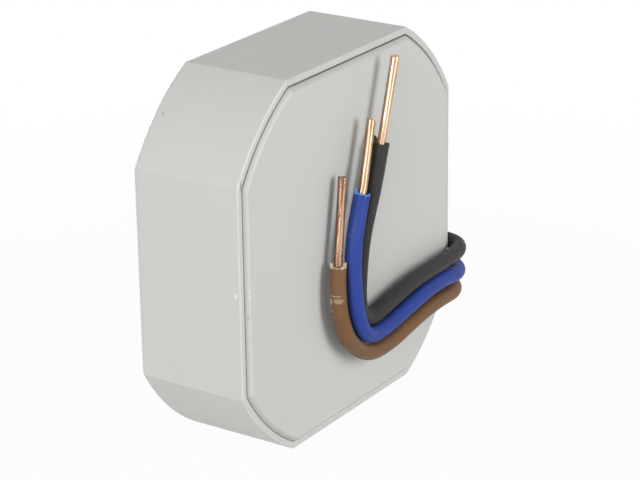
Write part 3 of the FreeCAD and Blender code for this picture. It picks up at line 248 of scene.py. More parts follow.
def group_drawn_lines():
    """Lines that run along z. Place is in millimetres, and a small Stretch makes long lines."""
    inputs = {"Fineness": 6.0, "Stretch": 0.05}
    graph, given, out = new_group("drawn lines", inputs, ["Height", "Tone"])
    parts = graph.add("SeparateXYZ", {"Vector": given["Place"]}).outputs
    along = graph.product(parts["Z"], given["Stretch"])
    drawn = graph.add("CombineXYZ", {"X": parts["X"], "Y": parts["Y"], "Z": along}).outputs[0]
    fine = graph.noise(drawn, given["Fineness"], 4.0, 0.65)
    wide = graph.noise(drawn, graph.product(given["Fineness"], 0.35))
    both = graph.total(graph.product(fine, 0.6), graph.product(wide, 0.4))
    graph.feed_all(out, {"Height": both, "Tone": fine})


group_moulded_skin()
group_specks()
group_patches()
group_band()
group_mark()
group_drawn_lines()


# Finishes

# The three greys of the moulded case, the colours of marks and dust on it, and the colour of the painted
# shade down the cover's bevel
CASE_GREY = (0.630, 0.635, 0.607)
COVER_GREY = (0.627, 0.633, 0.607)
KNOB_GREY = (0.86, 0.86, 0.83)
BRIGHT_EDGE = (0.86, 0.86, 0.80)
# A dark colour for small spots at the seam and for the painted shade down the cover's bevel
SEAM_DARK_AND_PAINTED_SHADE = (0.20, 0.20, 0.18)
YELLOWED = (0.36, 0.29, 0.09)
DARK_GRAIN = (0.25, 0.24, 0.17)
DUST = (0.45, 0.44, 0.42)

# The cover's bevel, in millimetres behind its face: where the bevel starts, where its edge ends, and
# # how deep its foot lies. The edge takes a share of the whole painted shade.
COVER_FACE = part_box("cover")[0][1]
BEVEL_START = 0.002
BEVEL_EDGE = 0.05
BEVEL_DEPTH = 0.5
SHADE_AT_EDGE = 0.4


def new_finish(name, **sockets):
    """A material with its graph and its shader, whose named sockets get fixed values."""
    material = bpy.data.materials.new(name)
    material.use_nodes = True
    shader = material.node_tree.nodes["Principled BSDF"]
    for socket, value in sockets.items():
        shader.inputs[socket.replace("_", " ")].default_value = value
    return material, Graph(material.node_tree), shader


def object_place(graph):
    return graph.add("TexCoord").outputs["Object"]


def bump(graph, shader, height, strength, distance):
    node = graph.add("Bump", {"Height": height, "Strength": strength, "Distance": distance})
    graph.feed(shader, "Normal", node.outputs["Normal"])


def tinted(graph, colour, tone):
    """A colour lightened or darkened by a tone about 1."""
    return graph.add("VectorMath", {"Vector": colour, "Scale": tone}, operation="SCALE").outputs["Vector"]


def spotted(graph, base, place, spots):
    """A colour with marks on it. A spot is (middle, reach, colour, strength), in millimetres."""
    for middle, reach, colour, strength in spots:
        feeds = {"Place": place, "Middle": [value * MM for value in middle],
                 "Reach": [value * MM for value in reach], "Tear": SPOT_TEARS}
        mask = graph.group("mark", feeds)["Mask"]
        base = graph.mix(graph.product(mask, strength), base, colour)
    return base


def banded(graph, base, place, bands):
    """A colour with bands round the body. A band is (middle, width, colour), in millimetres."""
    for middle, width, colour in bands:
        feeds = {"Place": place, "Middle": middle * MM, "Width": width * MM}
        base = graph.mix(graph.group("band", feeds)["Mask"], base, colour)
    return base


def seam_shaded(graph, base, place, strength):
    """Painted shade: a colour that darkens down the cover's bevel, from the face to the seam."""
    behind_face = graph.difference(graph.part(place, "Y"), COVER_FACE)
    edge = graph.ramp(behind_face, BEVEL_START * MM, BEVEL_EDGE * MM, 0.0, SHADE_AT_EDGE * strength)
    slope = graph.ramp(behind_face, BEVEL_EDGE * MM, BEVEL_DEPTH * MM, 0.0, (1 - SHADE_AT_EDGE) * strength)
    return graph.mix(graph.total(edge, slope), base, SEAM_DARK_AND_PAINTED_SHADE)


def moulded(name, colour, roughness=0.45, grain=0.00012, depth=0.000004, clouds=0.012, specks=0.0,
            spots=(), bands=(), seam_shade=0.0, **sockets):
    """Moulded plastic: a fine grain, slight clouds and, where asked, dark grains, marks, bands and a painted
    shade down the cover's bevel.

    Grain and depth are in metres."""
    material, graph, shader = new_finish(name, **{"Specular_IOR_Level": 0.35, **sockets})
    place = object_place(graph)
    skin = graph.group("moulded skin", {"Place": place, "Size": grain, "Clouds": clouds})
    base = tinted(graph, colour, skin["Tone"])
    if specks:
        feeds = {"Place": place, "Spacing": 6 * MM, "Size": 0.06 * MM, "Share": specks}
        base = graph.mix(graph.group("specks", feeds)["Mask"], base, DARK_GRAIN)
    base = spotted(graph, base, place, spots)
    base = banded(graph, base, place, bands)
    # Painted shade: the colour darkens down the cover's bevel toward the seam
    if seam_shade:
        base = seam_shaded(graph, base, place, seam_shade)
    graph.feed(shader, "Base Color", base)
    rough = graph.ramp(skin["Gloss"], 0.2, 0.8, roughness - 0.05, roughness + 0.05)
    graph.feed(shader, "Roughness", rough)
    bump(graph, shader, skin["Height"], 0.5, depth)
    return material


def metal(name, colour, dull_colour, roughness, dull, fineness=5.0, stretch=0.08):
    """Rolled, drawn or plated metal: lines along the board's depth and duller patches."""
    material, graph, shader = new_finish(name, Metallic=1.0)
    place = object_place(graph)
    turned = graph.add("VectorRotate", {"Vector": place, "Angle": math.pi / 2}, rotation_type="X_AXIS")
    lying = graph.vector_math("MULTIPLY", turned.outputs["Vector"], (1 / MM, 1 / MM, 1 / MM))
    lines = graph.group("drawn lines", {"Place": lying, "Fineness": fineness, "Stretch": stretch})
    patches = graph.group("patches", {"Place": place, "Size": 1.2 * MM, "Share": dull})
    bright = tinted(graph, colour, graph.spread(lines["Tone"], 0.9, 1.05))
    graph.feed(shader, "Base Color", graph.mix(patches["Mask"], bright, dull_colour))
    rough = graph.total(graph.spread(lines["Tone"], roughness, roughness + 0.08),
                        graph.product(patches["Mask"], 0.15))
    graph.feed(shader, "Roughness", rough)
    bump(graph, shader, lines["Height"], 0.5, 0.01 * MM)
    return material


def dipped(name, colour, roughness=0.2, ripple=0.6, bands=()):
    """A glossy dipped or shrunk coat with slow ripples, in millimetres, and dust caught in it."""
    material, graph, shader = new_finish(name, Coat_Weight=0.4, Coat_Roughness=0.1)
    place = object_place(graph)
    tone = graph.group("patches", {"Place": place, "Size": ripple * MM})["Tone"]
    feeds = {"Place": place, "Spacing": 1.2 * MM, "Size": 0.04 * MM, "Share": 0.5}
    dust = graph.group("specks", feeds)["Mask"]
    base = graph.mix(dust, tinted(graph, colour, graph.spread(tone, 0.93, 1.06)), DUST)
    graph.feed(shader, "Base Color", banded(graph, base, place, bands))
    graph.feed(shader, "Roughness", graph.spread(tone, roughness, roughness + 0.12))
    bump(graph, shader, tone, 0.6, 0.02 * MM)
    return material


def board_finish():
    """Green solder mask over copper tracks and glass cloth."""
    material, graph, shader = new_finish("board", Coat_Weight=0.25, Coat_Roughness=0.15)
    place = object_place(graph)
    feeds = {"Vector": place, "Scale": COPPER_TRACKS}
    tracks = graph.add("TexVoronoi", feeds, feature="F1", distance="CHEBYCHEV").outputs["Color"]
    draw = graph.add("SeparateColor", {"Color": tracks}).outputs[0]
    copper = graph.math("GREATER_THAN", draw, 0.45)
    weave = graph.add("TexChecker", {"Vector": place, "Scale": GLASS_WEAVE}).outputs["Fac"]
    tone = graph.group("patches", {"Place": place, "Size": 4 * MM})["Tone"]
    mask = graph.mix(copper, (0.055, 0.20, 0.10), (0.10, 0.33, 0.17))
    graph.feed(shader, "Base Color", tinted(graph, mask, graph.spread(tone, 0.92, 1.06)))
    graph.feed(shader, "Roughness", graph.spread(tone, 0.32, 0.45))
    bump(graph, shader, graph.total(copper, graph.product(weave, 0.12)), 0.5, 0.03 * MM)
    return material


COIL_WIRE = 0.09


def winding_finish():
    """Turns of enamelled wire laid side by side, each a little lighter or darker than the next."""
    material, graph, shader = new_finish("winding", Metallic=0.6)
    turn = graph.product(graph.part(object_place(graph), "Y"), 1 / (COIL_WIRE * MM))
    bulge = graph.math("PINGPONG", turn, 0.5)
    which = graph.add("CombineXYZ", {"X": graph.math("FLOOR", turn)}).outputs[0]
    shade = graph.spread(graph.noise(which, 0.7, 1.0), 0.82, 1.12)
    graph.feed(shader, "Base Color", tinted(graph, (0.60, 0.24, 0.11), shade))
    graph.feed(shader, "Roughness", graph.ramp(bulge, 0.0, 0.5, 0.5, 0.28))
    bump(graph, shader, bulge, 1.0, 0.04 * MM)
    return material


ZENER_BAND = [(6.1, 0.5, (0.03, 0.03, 0.035))]


def zener_glass_finish():
    """Orange glass over a wire, with its dark band."""
    material, graph, shader = new_finish("zener_glass", Transmission_Weight=0.5, IOR=1.5)
    place = object_place(graph)
    tone = graph.group("patches", {"Place": place, "Size": 1 * MM})["Tone"]
    glass = tinted(graph, (0.75, 0.30, 0.10), graph.spread(tone, 0.85, 1.1))
    graph.feed(shader, "Base Color", banded(graph, glass, place, ZENER_BAND))
    graph.feed(shader, "Roughness", graph.spread(tone, 0.05, 0.16))
    bump(graph, shader, tone, 0.3, 0.01 * MM)
    return material


# Small moulding marks, in millimetres: a nib on the rim, light ticks, and grains in the plastic
CASE_SPOTS = [
    ((-24.0, -6.95, 24.05), (0.28, 0.4, 0.45), BRIGHT_EDGE, 0.65),
    ((-23.05, -7.6, 26.85), (0.15, 0.3, 0.14), SEAM_DARK_AND_PAINTED_SHADE, 0.8),
    ((-23.3, -7.6, 37.7), (0.2, 0.3, 0.8), SEAM_DARK_AND_PAINTED_SHADE, 0.75),
    ((-23.75, -7.5, 38.6), (0.25, 0.25, 1.1), BRIGHT_EDGE, 0.6),
    ((-19.55, 6.25, 43.34), (0.35, 0.09, 0.35), YELLOWED, 0.9),
]
TICK_REACH = (0.2, 0.3, 0.13)
COVER_SPOTS = [((-22.6, -7.95, height), TICK_REACH, BRIGHT_EDGE, 0.55) for height in (24.3, 23.8, 23.3)]
COVER_SPOTS.append(((-22.75, -7.8, 21.05), (0.14, 0.3, 0.13), SEAM_DARK_AND_PAINTED_SHADE, 0.5))

# Bands as (middle, width, colour), in millimetres along x
BAND_BROWN = (0.25, 0.10, 0.04)
BAND_BLACK = (0.02, 0.02, 0.02)
BAND_GOLD = (0.55, 0.38, 0.08)
BAND_SILVER = (0.55, 0.55, 0.54)
RESISTOR_BANDS = [
    (-1.9, 0.6, BAND_BROWN), (-0.7, 0.6, BAND_BLACK), (0.5, 0.6, BAND_BLACK), (3.6, 0.6, BAND_GOLD),
]
DIODE_BANDS = [(-8.8, 0.8, BAND_SILVER), (-2.3, 0.8, BAND_SILVER)]
CAN_STRIPE = [(1.2, 1.4, (0.42, 0.44, 0.50))]

TINNED = [
    "relay_coil_pins", "film_capacitor_legs", "electrolytic_legs", "varistor_legs", "fusible_resistor_legs",
    "rectifier_diode_legs", "zener_diode_legs", "control_chip_legs", "driver_transistor_legs",
    "chip_end_caps", "trimmer_pins",
]

# Each finish with the nodes that it dresses
FINISHES = [
    (moulded("case_plastic", CASE_GREY, 0.42, specks=0.25, spots=CASE_SPOTS), ["housing"]),
    (moulded("cover_plastic", COVER_GREY, 0.42, specks=0.12, spots=COVER_SPOTS, seam_shade=0.36),
     ["cover"]),
    (moulded("knob_plastic", KNOB_GREY, 0.38), ["time_knob"]),
    (board_finish(), ["circuit_board"]),
    (metal("solder", (0.74, 0.74, 0.73), (0.55, 0.55, 0.54), 0.20, 0.55, 1.5, 0.8),
     ["solder_cones", "lead_solder"]),
    (winding_finish(), ["relay_coil"]),
    (moulded("relay_shell", (0.055, 0.060, 0.066), 0.42, grain=0.0002, depth=0.000008), ["relay_case"]),
    (moulded("relay_moulding", (0.12, 0.12, 0.12), 0.5, grain=0.0002, depth=0.000008), ["relay_base"]),
    (moulded("bobbin_moulding", (0.80, 0.77, 0.68), 0.4, clouds=0.03), ["relay_bobbin"]),
    (metal("iron", (0.62, 0.61, 0.59), (0.42, 0.40, 0.37), 0.30, 0.35),
     ["relay_yoke", "relay_core", "relay_armature"]),
    (metal("spring_bronze", (0.74, 0.55, 0.28), (0.50, 0.33, 0.15), 0.26, 0.3, 7.0, 0.05),
     ["relay_contact_leaf", "relay_fixed_terminal"]),
    (metal("contact_silver", (0.88, 0.87, 0.84), (0.55, 0.52, 0.46), 0.18, 0.35, 6.0, 0.6),
     ["relay_moving_contact", "relay_fixed_contact"]),
    (metal("tinned_legs", (0.76, 0.76, 0.75), (0.52, 0.52, 0.51), 0.24, 0.4, 6.0, 0.06), TINNED),
    (moulded("film_case", (0.68, 0.52, 0.09), 0.28, clouds=0.03, Coat_Weight=0.2), ["film_capacitor"]),
    (dipped("can_sleeve", (0.04, 0.05, 0.10), 0.22, 1.8, CAN_STRIPE), ["electrolytic_capacitor"]),
    (moulded("bung_rubber", (0.03, 0.03, 0.03), 0.75, grain=0.0003, depth=0.00002),
     ["electrolytic_bung"]),
    (dipped("varistor_coating", (0.03, 0.14, 0.42), 0.18), ["varistor"]),
    (dipped("resistor_coating", (0.27, 0.38, 0.36), 0.42, 0.5, RESISTOR_BANDS), ["fusible_resistor"]),
    (moulded("diode_moulding", (0.035, 0.035, 0.037), 0.5, bands=DIODE_BANDS), ["rectifier_diodes"]),
    (zener_glass_finish(), ["zener_diode"]),
    (moulded("chip_epoxy", (0.030, 0.030, 0.032), 0.55, grain=0.0001, depth=0.00001),
     ["control_chip", "driver_transistor"]),
    (moulded("chip_resistor_body", (0.045, 0.045, 0.055), 0.3, grain=0.0001, depth=0.000006),
     ["chip_resistors"]),
    (moulded("chip_capacitor_body", (0.47, 0.34, 0.20), 0.45, clouds=0.05), ["chip_capacitors"]),
    (moulded("trimmer_plastic", (0.04, 0.13, 0.46), 0.4), ["trimmer_body"]),
    (moulded("rotor_plastic", (0.82, 0.82, 0.79), 0.4), ["trimmer_rotor"]),
]
for finish, node_names in FINISHES:
    for node_name in node_names:
        held = frame["nodes"][node_name].data.materials
        held.clear()
        held.append(finish)


# Leads: the route of each one in millimetres, from its soldered end to the cut of its insulation.
# Past the cut the bare copper takes one small bend and runs straight to its tip.
INSULATION_RADIUS = 1.05
BORE_RADIUS = 0.58
COPPER_RADIUS = 0.56
STRIPPED_INSIDE = 3.8
BEND_PAST_CUT = 0.9
OUT_OF_COVER = Vector((0, -1, 0))

ROUTES = {
    "black": [
        (16.6, -5.2, 15.5), (20.4, -5.2, 15.5), (25.3, -5.2, 15.5), (25.3, -9.5, 14.8),
        (16.71, -10.0, 14.91), (10.78, -9.94, 14.71), (5.46, -9.94, 13.87), (0.35, -9.56, 12.55),
        (-1.5, -9.55, 15.3), (-1.6, -9.8, 20.45), (-1.01, -10.05, 25.4), (1.07, -10.3, 30.65),
        (2.71, -10.4, 36.0),
    ],
    "blue": [
        (16.6, -5.2, 12.8), (20.4, -5.2, 12.8), (25.2, -5.2, 12.8), (25.2, -9.4, 11.4),
        (16.4, -10.49, 13.04), (9.78, -10.6, 12.32), (4.4, -10.28, 10.99), (-1.0, -10.51, 11.04),
        (-3.9, -11.0, 14.9), (-4.6, -10.9, 19.35), (-4.4, -10.75, 24.98), (-1.92, -10.5, 30.88),
    ],
    "brown": [
        (16.6, -5.2, 10.1), (20.4, -5.2, 10.1), (25.1, -5.2, 10.1), (24.7, -9.0, 8.9),
        (16.89, -9.95, 9.9), (10.77, -10.05, 9.3), (5.35, -10.1, 8.3), (-0.25, -10.1, 8.4),
        (-4.75, -10.1, 11.95), (-6.55, -10.1, 16.07), (-6.85, -10.0, 19.63), (-6.45, -9.85, 22.72),
    ],
}
TIPS = {"black": (5.94, -10.5, 46.69), "blue": (0.93, -10.15, 39.82), "brown": (-4.57, -9.4, 33.66)}


def route_points(colour):
    """The control points of one lead, with the bend past the cut and a point close after it."""
    points = [Vector(point) for point in ROUTES[colour]]
    cut = points[-1]
    bend = cut + (cut - points[-2]).normalized() * BEND_PAST_CUT
    tip = Vector(TIPS[colour])
    past_bend = bend + (tip - bend).normalized() * BEND_PAST_CUT
    return points + [bend, past_bend, tip]


def centreline(colour):
    """The smooth line of a lead in metres, read from a NURBS spline with its route as control points."""
    points = route_points(colour)
    curve = bpy.data.curves.new(colour + "_route", "CURVE")
    curve.dimensions = "3D"
    spline = curve.splines.new("NURBS")
    spline.points.add(len(points) - 1)
    for held, point in zip(spline.points, points):
        held.co = (*(point * MM), 1.0)
    spline.order_u = 3
    spline.use_endpoint_u = True
    spline.resolution_u = 30
    holder = placed(colour + "_route", curve)
    bpy.context.view_layer.update()
    line = bpy.data.meshes.new_from_object(holder)
    read = [vertex.co.copy() for vertex in line.vertices]
    bpy.data.objects.remove(holder)
    bpy.data.meshes.remove(line)
    return read


def squared(side, heading):
    """The side turned square to the heading."""
    return (side - heading * side.dot(heading)).normalized()


class Line:
    """A line that gives place, heading and outward side at any length along it.

    The sides are carried both ways from the cut, where outward means out of the cover. So an
    angle round the lead means the same all along: 0 is outward and 90 degrees is to the right.
    """

    def __init__(self, points, cut_point):
        self.points = points
        self.lengths = [0.0]
        for start, stop in zip(points, points[1:]):
            self.lengths.append(self.lengths[-1] + (stop - start).length)
        last = len(points) - 1
        self.headings = [
            (points[min(at + 1, last)] - points[max(at - 1, 0)]).normalized() for at in range(last + 1)
        ]
        nearest = min(range(last + 1), key=lambda at: (points[at] - cut_point).length)
        self.cut = self.lengths[nearest]
        self.sides = [None] * (last + 1)
        self.sides[nearest] = squared(OUT_OF_COVER, self.headings[nearest])
        for at in range(nearest - 1, -1, -1):
            self.sides[at] = squared(self.sides[at + 1], self.headings[at])
        for at in range(nearest + 1, last + 1):
            self.sides[at] = squared(self.sides[at - 1], self.headings[at])

    def at(self, length):
        """Place, heading and side; past its ends the line runs straight on."""
        low = 0
        while low < len(self.points) - 2 and self.lengths[low + 1] < length:
            low += 1
        share = (length - self.lengths[low]) / (self.lengths[low + 1] - self.lengths[low])
        held = min(max(share, 0.0), 1.0)
        heading = self.headings[low].lerp(self.headings[low + 1], held).normalized()
        side = squared(self.sides[low].lerp(self.sides[low + 1], held), heading)
        return self.points[low].lerp(self.points[low + 1], share), heading, side


def steps(start, stop, step):
    """Even values from start to stop, both included, about a step apart."""
    count = max(1, round(abs(stop - start) / step))
    return [start + (stop - start) * at / count for at in range(count + 1)]


def smooth(share):
    share = min(max(share, 0.0), 1.0)
    return share * share * (3 - 2 * share)


def bump_at(angle, middle, width):
    """A round bump over the angle: 1 at its middle. The angle is in radians, the rest in degrees."""
    away = (math.degrees(angle) - middle + 180) % 360 - 180
    return math.exp(-((away / width) ** 2))


def skinned(name, line, rings, sides, closed):
    """A tube skinned over rings. Each is a function of the angle that gives a length, a radius and
    how much of a cut face it is. It is closed onto its first ring, or else capped at both ends."""
    places = []
    straightened = []
    cut_share = []
    for ring in rings:
        for step in range(sides):
            angle = 2 * math.pi * step / sides
            length, radius, cut = ring(angle)
            point, heading, side = line.at(length)
            out = side * math.cos(angle) + heading.cross(side) * math.sin(angle)
            places.append(point + out * radius)
            flat = Vector((math.cos(angle) * radius, math.sin(angle) * radius, length - line.cut))
            straightened.append(flat / MM)
            cut_share.append(cut)
    faces = []
    pairs = [(at, at + 1) for at in range(len(rings) - 1)]
    if closed:
        pairs.append((len(rings) - 1, 0))
    for low, high in pairs:
        for step in range(sides):
            after = (step + 1) % sides
            faces.append((low * sides + step, low * sides + after, high * sides + after, high * sides + step))
    if not closed:
        faces.append(tuple(range(sides))[::-1])
        last = (len(rings) - 1) * sides
        faces.append(tuple(range(last, last + sides)))
    mesh = bpy.data.meshes.new(name)
    mesh.from_pydata(places, [], faces)
    mesh.polygons.foreach_set("use_smooth", [True] * len(faces))
    lie = mesh.attributes.new("straightened", "FLOAT_VECTOR", "POINT")
    lie.data.foreach_set("vector", [value for flat in straightened for value in flat])
    cuts = mesh.attributes.new("cut_face", "FLOAT", "POINT")
    cuts.data.foreach_set("value", cut_share)
    mesh.update()
    return placed(name, mesh)


# How the knife left each cut: bumps of the edge as (angle, width, height in millimetres)
CUT_EDGES = {
    "black": [(-146, 5, 0.9), (-160, 14, 0.2), (20, 18, 0.25), (70, 30, 0.2), (-60, 40, -0.1)],
    "blue": [(-132, 14, 0.5), (-150, 20, 0.2), (-30, 35, -0.15), (40, 25, 0.15)],
    "brown": [(-135, 14, 0.45), (20, 16, 0.5), (-60, 40, -0.15), (-20, 10, 0.12), (150, 30, 0.2)],
}
# Rings of the cut face from outside to inside: millimetres back from the cut, radius, how much of a
# cut face the ring is, and how far it follows the bumps
CUT_FACE = [
    (0.0, INSULATION_RADIUS - 0.02, 0.6, 1.0),
    (0.0, INSULATION_RADIUS - 0.06, 1.0, 1.0),
    (0.03, (INSULATION_RADIUS + BORE_RADIUS) / 2, 1.0, 0.9),
    (0.06, BORE_RADIUS + 0.05, 1.0, 0.8),
    (0.12, BORE_RADIUS, 1.0, 0.6),
]
CUT_BLEND = 1.4
BORE_FROM = 0.5
BORE_FOLLOWS = 0.3
INSULATION_SIDES = 72
COPPER_SIDES = 40

# Spacing of the rings in millimetres: along the insulation, near its cut and in its bore, and along
# the copper inside the insulation and out of it
LEAD_STEP = 0.3
CUT_STEP = 0.1
BORE_STEP = 0.8
HIDDEN_STEP = 0.5
COPPER_STEP = 0.25


def make_insulation(colour, line):
    start = STRIPPED_INSIDE * MM
    blend_from = line.cut - CUT_BLEND * MM

    def edge(angle):
        return sum(height * bump_at(angle, middle, width) for middle, width, height in CUT_EDGES[colour]) * MM

    def wall(length, radius, cut=0.0, share=1.0):
        lifted = smooth((length - blend_from) / (line.cut - blend_from)) * share
        return lambda angle: (length + lifted * edge(angle), radius * MM, cut)

    outside = steps(start, blend_from, LEAD_STEP * MM) + steps(blend_from, line.cut, CUT_STEP * MM)[1:]
    inside = steps(line.cut - BORE_FROM * MM, start, BORE_STEP * MM)
    rings = [wall(length, INSULATION_RADIUS) for length in outside]
    rings += [wall(line.cut - back * MM, radius, cut, share) for back, radius, cut, share in CUT_FACE]
    rings += [wall(length, BORE_RADIUS, 1.0 if length > blend_from else 0.0, BORE_FOLLOWS)
              for length in inside]
    return skinned(colour + "_lead", line, rings, INSULATION_SIDES, closed=True)


def round_tip(reach, rounding, flat_radius):
    """Rings of a rounded end: its reach along the wire, its rounding and its last, flat ring."""
    turns = [math.radians(degrees) for degrees in (0, 15, 30, 45, 60, 72, 82)]
    rings = [(reach * (1 - math.sin(turn)), COPPER_RADIUS - rounding + rounding * math.cos(turn), 0.0, 0.0)
             for turn in turns]
    return rings + [(0.0, flat_radius, 0.0, 0.0)]


# Rings of each copper tip, a rounded, a slanted and a rough flat one: millimetres back from the end,
# radius, slant and scatter
TIP_RINGS = {
    "black": round_tip(0.45, 0.4, 0.12),
    "blue": [
        (0.5, COPPER_RADIUS, 0.02, 0.0), (0.3, COPPER_RADIUS, 0.12, 0.0),
        (0.22, COPPER_RADIUS - 0.01, 0.16, 0.0), (0.17, COPPER_RADIUS - 0.05, 0.17, 0.0),
        (0.15, COPPER_RADIUS - 0.12, 0.15, 0.0), (0.12, 0.2, 0.06, 0.0),
    ],
    "brown": [
        (0.3, COPPER_RADIUS, 0.0, 0.0), (0.12, COPPER_RADIUS + 0.005, 0.0, 0.02),
        (0.06, COPPER_RADIUS, 0.0, 0.04), (0.03, COPPER_RADIUS - 0.05, 0.0, 0.05),
        (0.05, COPPER_RADIUS - 0.2, 0.0, 0.06), (0.06, 0.15, 0.0, 0.03),
    ],
}
TIP_LENGTH = 0.6
SLANT_TOWARD = math.radians(-147)


def copper_tip(colour, line):
    """The last rings of the copper."""
    end = line.lengths[-1]
    rng = random.Random(colour)
    rough = [rng.uniform(-1, 1) for _ in range(COPPER_SIDES)]

    def ring(back, radius, slant, scatter):
        def at_angle(angle):
            step = round(angle / (2 * math.pi) * COPPER_SIDES) % COPPER_SIDES
            lean = slant * math.cos(angle - SLANT_TOWARD)
            return end + (lean - back + scatter * rough[step]) * MM, radius * MM, 0.0
        return at_angle

    return [ring(*row) for row in TIP_RINGS[colour]]


def make_copper(colour, line):
    def plain(length):
        return lambda angle: (length, COPPER_RADIUS * MM, 0.0)

    shown_from = line.cut - LEAD_STEP * MM
    hidden = steps(0.0, shown_from, HIDDEN_STEP * MM)
    shown = steps(shown_from, line.lengths[-1] - TIP_LENGTH * MM, COPPER_STEP * MM)[1:]
    rings = [plain(length) for length in hidden + shown] + copper_tip(colour, line)
    return skinned(colour + "_copper", line, rings, COPPER_SIDES, closed=False)


def straightened_place(graph):
    """The place in the straightened wire, in millimetres: z is 0 at the cut and grows to the tip."""
    return graph.add("Attribute", attribute_name="straightened").outputs["Vector"]


# Half the width of the soft edge where a cut's paler colour ends, in millimetres
COLLAR_EDGE = 0.05


def lead_finish(name, colour, cut_colour, mark_and_sheen_colour, marks_with_sheen, collar):
    """Soft PVC over the copper, paler where it was cut and over a torn collar, with its marks and, on the
    black lead, a painted sheen streak.

    A mark is (angle in degrees, millimetres before the cut, half width, half length, strength).
    All lengths are in millimetres, and the noise scales are per millimetre."""
    material, graph, shader = new_finish(name, Specular_IOR_Level=0.2)
    place = straightened_place(graph)
    tone = graph.noise(place, 0.8, 3.0, 0.6)
    lengthwise = graph.group("drawn lines", {"Place": place, "Fineness": 2.2, "Stretch": 0.12})
    lift = graph.total(graph.product(tone, 0.16), graph.product(lengthwise["Tone"], 0.10))
    base = tinted(graph, colour, graph.total(lift, 0.87))
    marks_and_sheen_mask = 0.0
    # Marks in the mark colour; on the black lead one of them is a painted sheen streak
    for angle, before_cut, half_width, half_length, strength in marks_with_sheen:
        turn = math.radians(angle)
        middle = (math.cos(turn) * INSULATION_RADIUS, math.sin(turn) * INSULATION_RADIUS, -before_cut)
        reach = (half_width, half_width, half_length)
        mask = graph.group("mark", {"Place": place, "Middle": middle, "Reach": reach, "Tear": 5.0})["Mask"]
        marks_and_sheen_mask = graph.math("MAXIMUM", marks_and_sheen_mask, graph.product(mask, strength))
    base = graph.mix(marks_and_sheen_mask, base, mark_and_sheen_colour)
    cut = graph.add("Attribute", attribute_name="cut_face").outputs["Fac"]
    along = graph.total(graph.part(place, "Z"), graph.ragged(place, 2.6, 3.0 * collar, 3.0))
    edge = graph.ramp(along, -collar - COLLAR_EDGE, -collar + COLLAR_EDGE)
    uneven = graph.ramp(graph.noise(place, 6.0, 3.0), 0.2, 0.6, 0.7, 1.0)
    base = graph.mix(graph.product(graph.math("MAXIMUM", cut, edge), uneven), base, cut_colour)
    graph.feed(shader, "Base Color", base)
    graph.feed(shader, "Roughness", graph.spread(tone, 0.43, 0.57))
    height = graph.total(graph.product(graph.noise(place, 14.0), 0.4), lengthwise["Height"])
    bump(graph, shader, graph.difference(height, graph.product(marks_and_sheen_mask, 0.6)), 0.5, 0.02 * MM)
    return material


COPPER_PIT = (0.16, 0.07, 0.04)


def copper_finish(name, colour, dark, roughness, pits, depth=0.04):
    """Drawn copper: lines along the wire, depth millimetres deep, and on rougher wire dark pits."""
    material, graph, shader = new_finish(name, Metallic=1.0)
    place = straightened_place(graph)
    lines = graph.group("drawn lines", {"Place": place, "Fineness": 3.4, "Stretch": 0.05})
    cells = graph.add("TexVoronoi", {"Vector": place, "Scale": 2.4}, feature="F1").outputs
    holes = graph.product(graph.ramp(cells["Distance"], 0.34, 0.14), pits)
    bright = graph.mix(graph.ramp(lines["Tone"], 0.42, 0.58), dark, colour)
    graph.feed(shader, "Base Color", graph.mix(holes, bright, COPPER_PIT))
    graph.feed(shader, "Roughness", graph.spread(lines["Tone"], roughness + 0.1, roughness - 0.06))
    height = graph.difference(lines["Height"], graph.product(holes, 0.8))
    bump(graph, shader, height, 0.7, depth * MM)
    return material


# The black lead's last mark, a long pale streak along its outward face, is painted sheen
BLACK_MARKS_AND_PAINTED_SHEEN = [(-30, 19.0, 0.12, 0.12, 0.8), (-20, 8.5, 0.1, 0.15, 0.7), (8, 3.5, 0.32, 4.5, 0.12)]
BLUE_MARKS = [(-105, 5.3, 0.5, 0.25, 0.2), (-80, 4.8, 0.25, 0.12, 0.2)]
BROWN_MARKS = [
    (-55, 4.25, 0.85, 0.42, 0.4), (-75, 3.62, 1.15, 0.08, 0.6), (-118, 4.45, 0.2, 0.5, 1.0),
    (-110, 5.6, 0.12, 0.25, 0.6), (-112, 6.4, 0.12, 0.14, 0.6),
]
LEAD_FINISHES = {
    "black": lead_finish("black_insulation", (0.033, 0.032, 0.030), (0.05, 0.05, 0.05),
                         (0.20, 0.20, 0.19), BLACK_MARKS_AND_PAINTED_SHEEN, 0.02),
    "blue": lead_finish("blue_insulation", (0.026, 0.056, 0.285), (0.12, 0.32, 0.66),
                        (0.16, 0.24, 0.55), BLUE_MARKS, 0.22),
    "brown": lead_finish("brown_insulation", (0.182, 0.096, 0.044), (0.62, 0.50, 0.38),
                         (0.62, 0.46, 0.30), BROWN_MARKS, 0.2),
}
COPPER_FINISHES = {
    "black": copper_finish("bright_copper", (0.67, 0.45, 0.31), (0.42, 0.25, 0.16), 0.28, 0.0),
    "blue": copper_finish("drawn_copper", (0.50, 0.345, 0.225), (0.31, 0.19, 0.115), 0.3, 0.3),
    "brown": copper_finish("pitted_copper", (0.46, 0.285, 0.19), (0.20, 0.11, 0.07), 0.38, 1.0, 0.07),
}


def make_lead(colour):
    line = Line(centreline(colour), Vector(ROUTES[colour][-1]) * MM)
    insulation = make_insulation(colour, line)
    insulation.data.materials.append(LEAD_FINISHES[colour])
    copper = make_copper(colour, line)
    copper.data.materials.append(COPPER_FINISHES[colour])
    dressed = [(insulation, "insulation", colour + "_sleeve"), (copper, "conductor", "copper")]
    for piece, node, slot in dressed:
        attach(piece, "case")
        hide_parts(f"{colour}_{node}")


for lead_colour in ROUTES:
    make_lead(lead_colour)


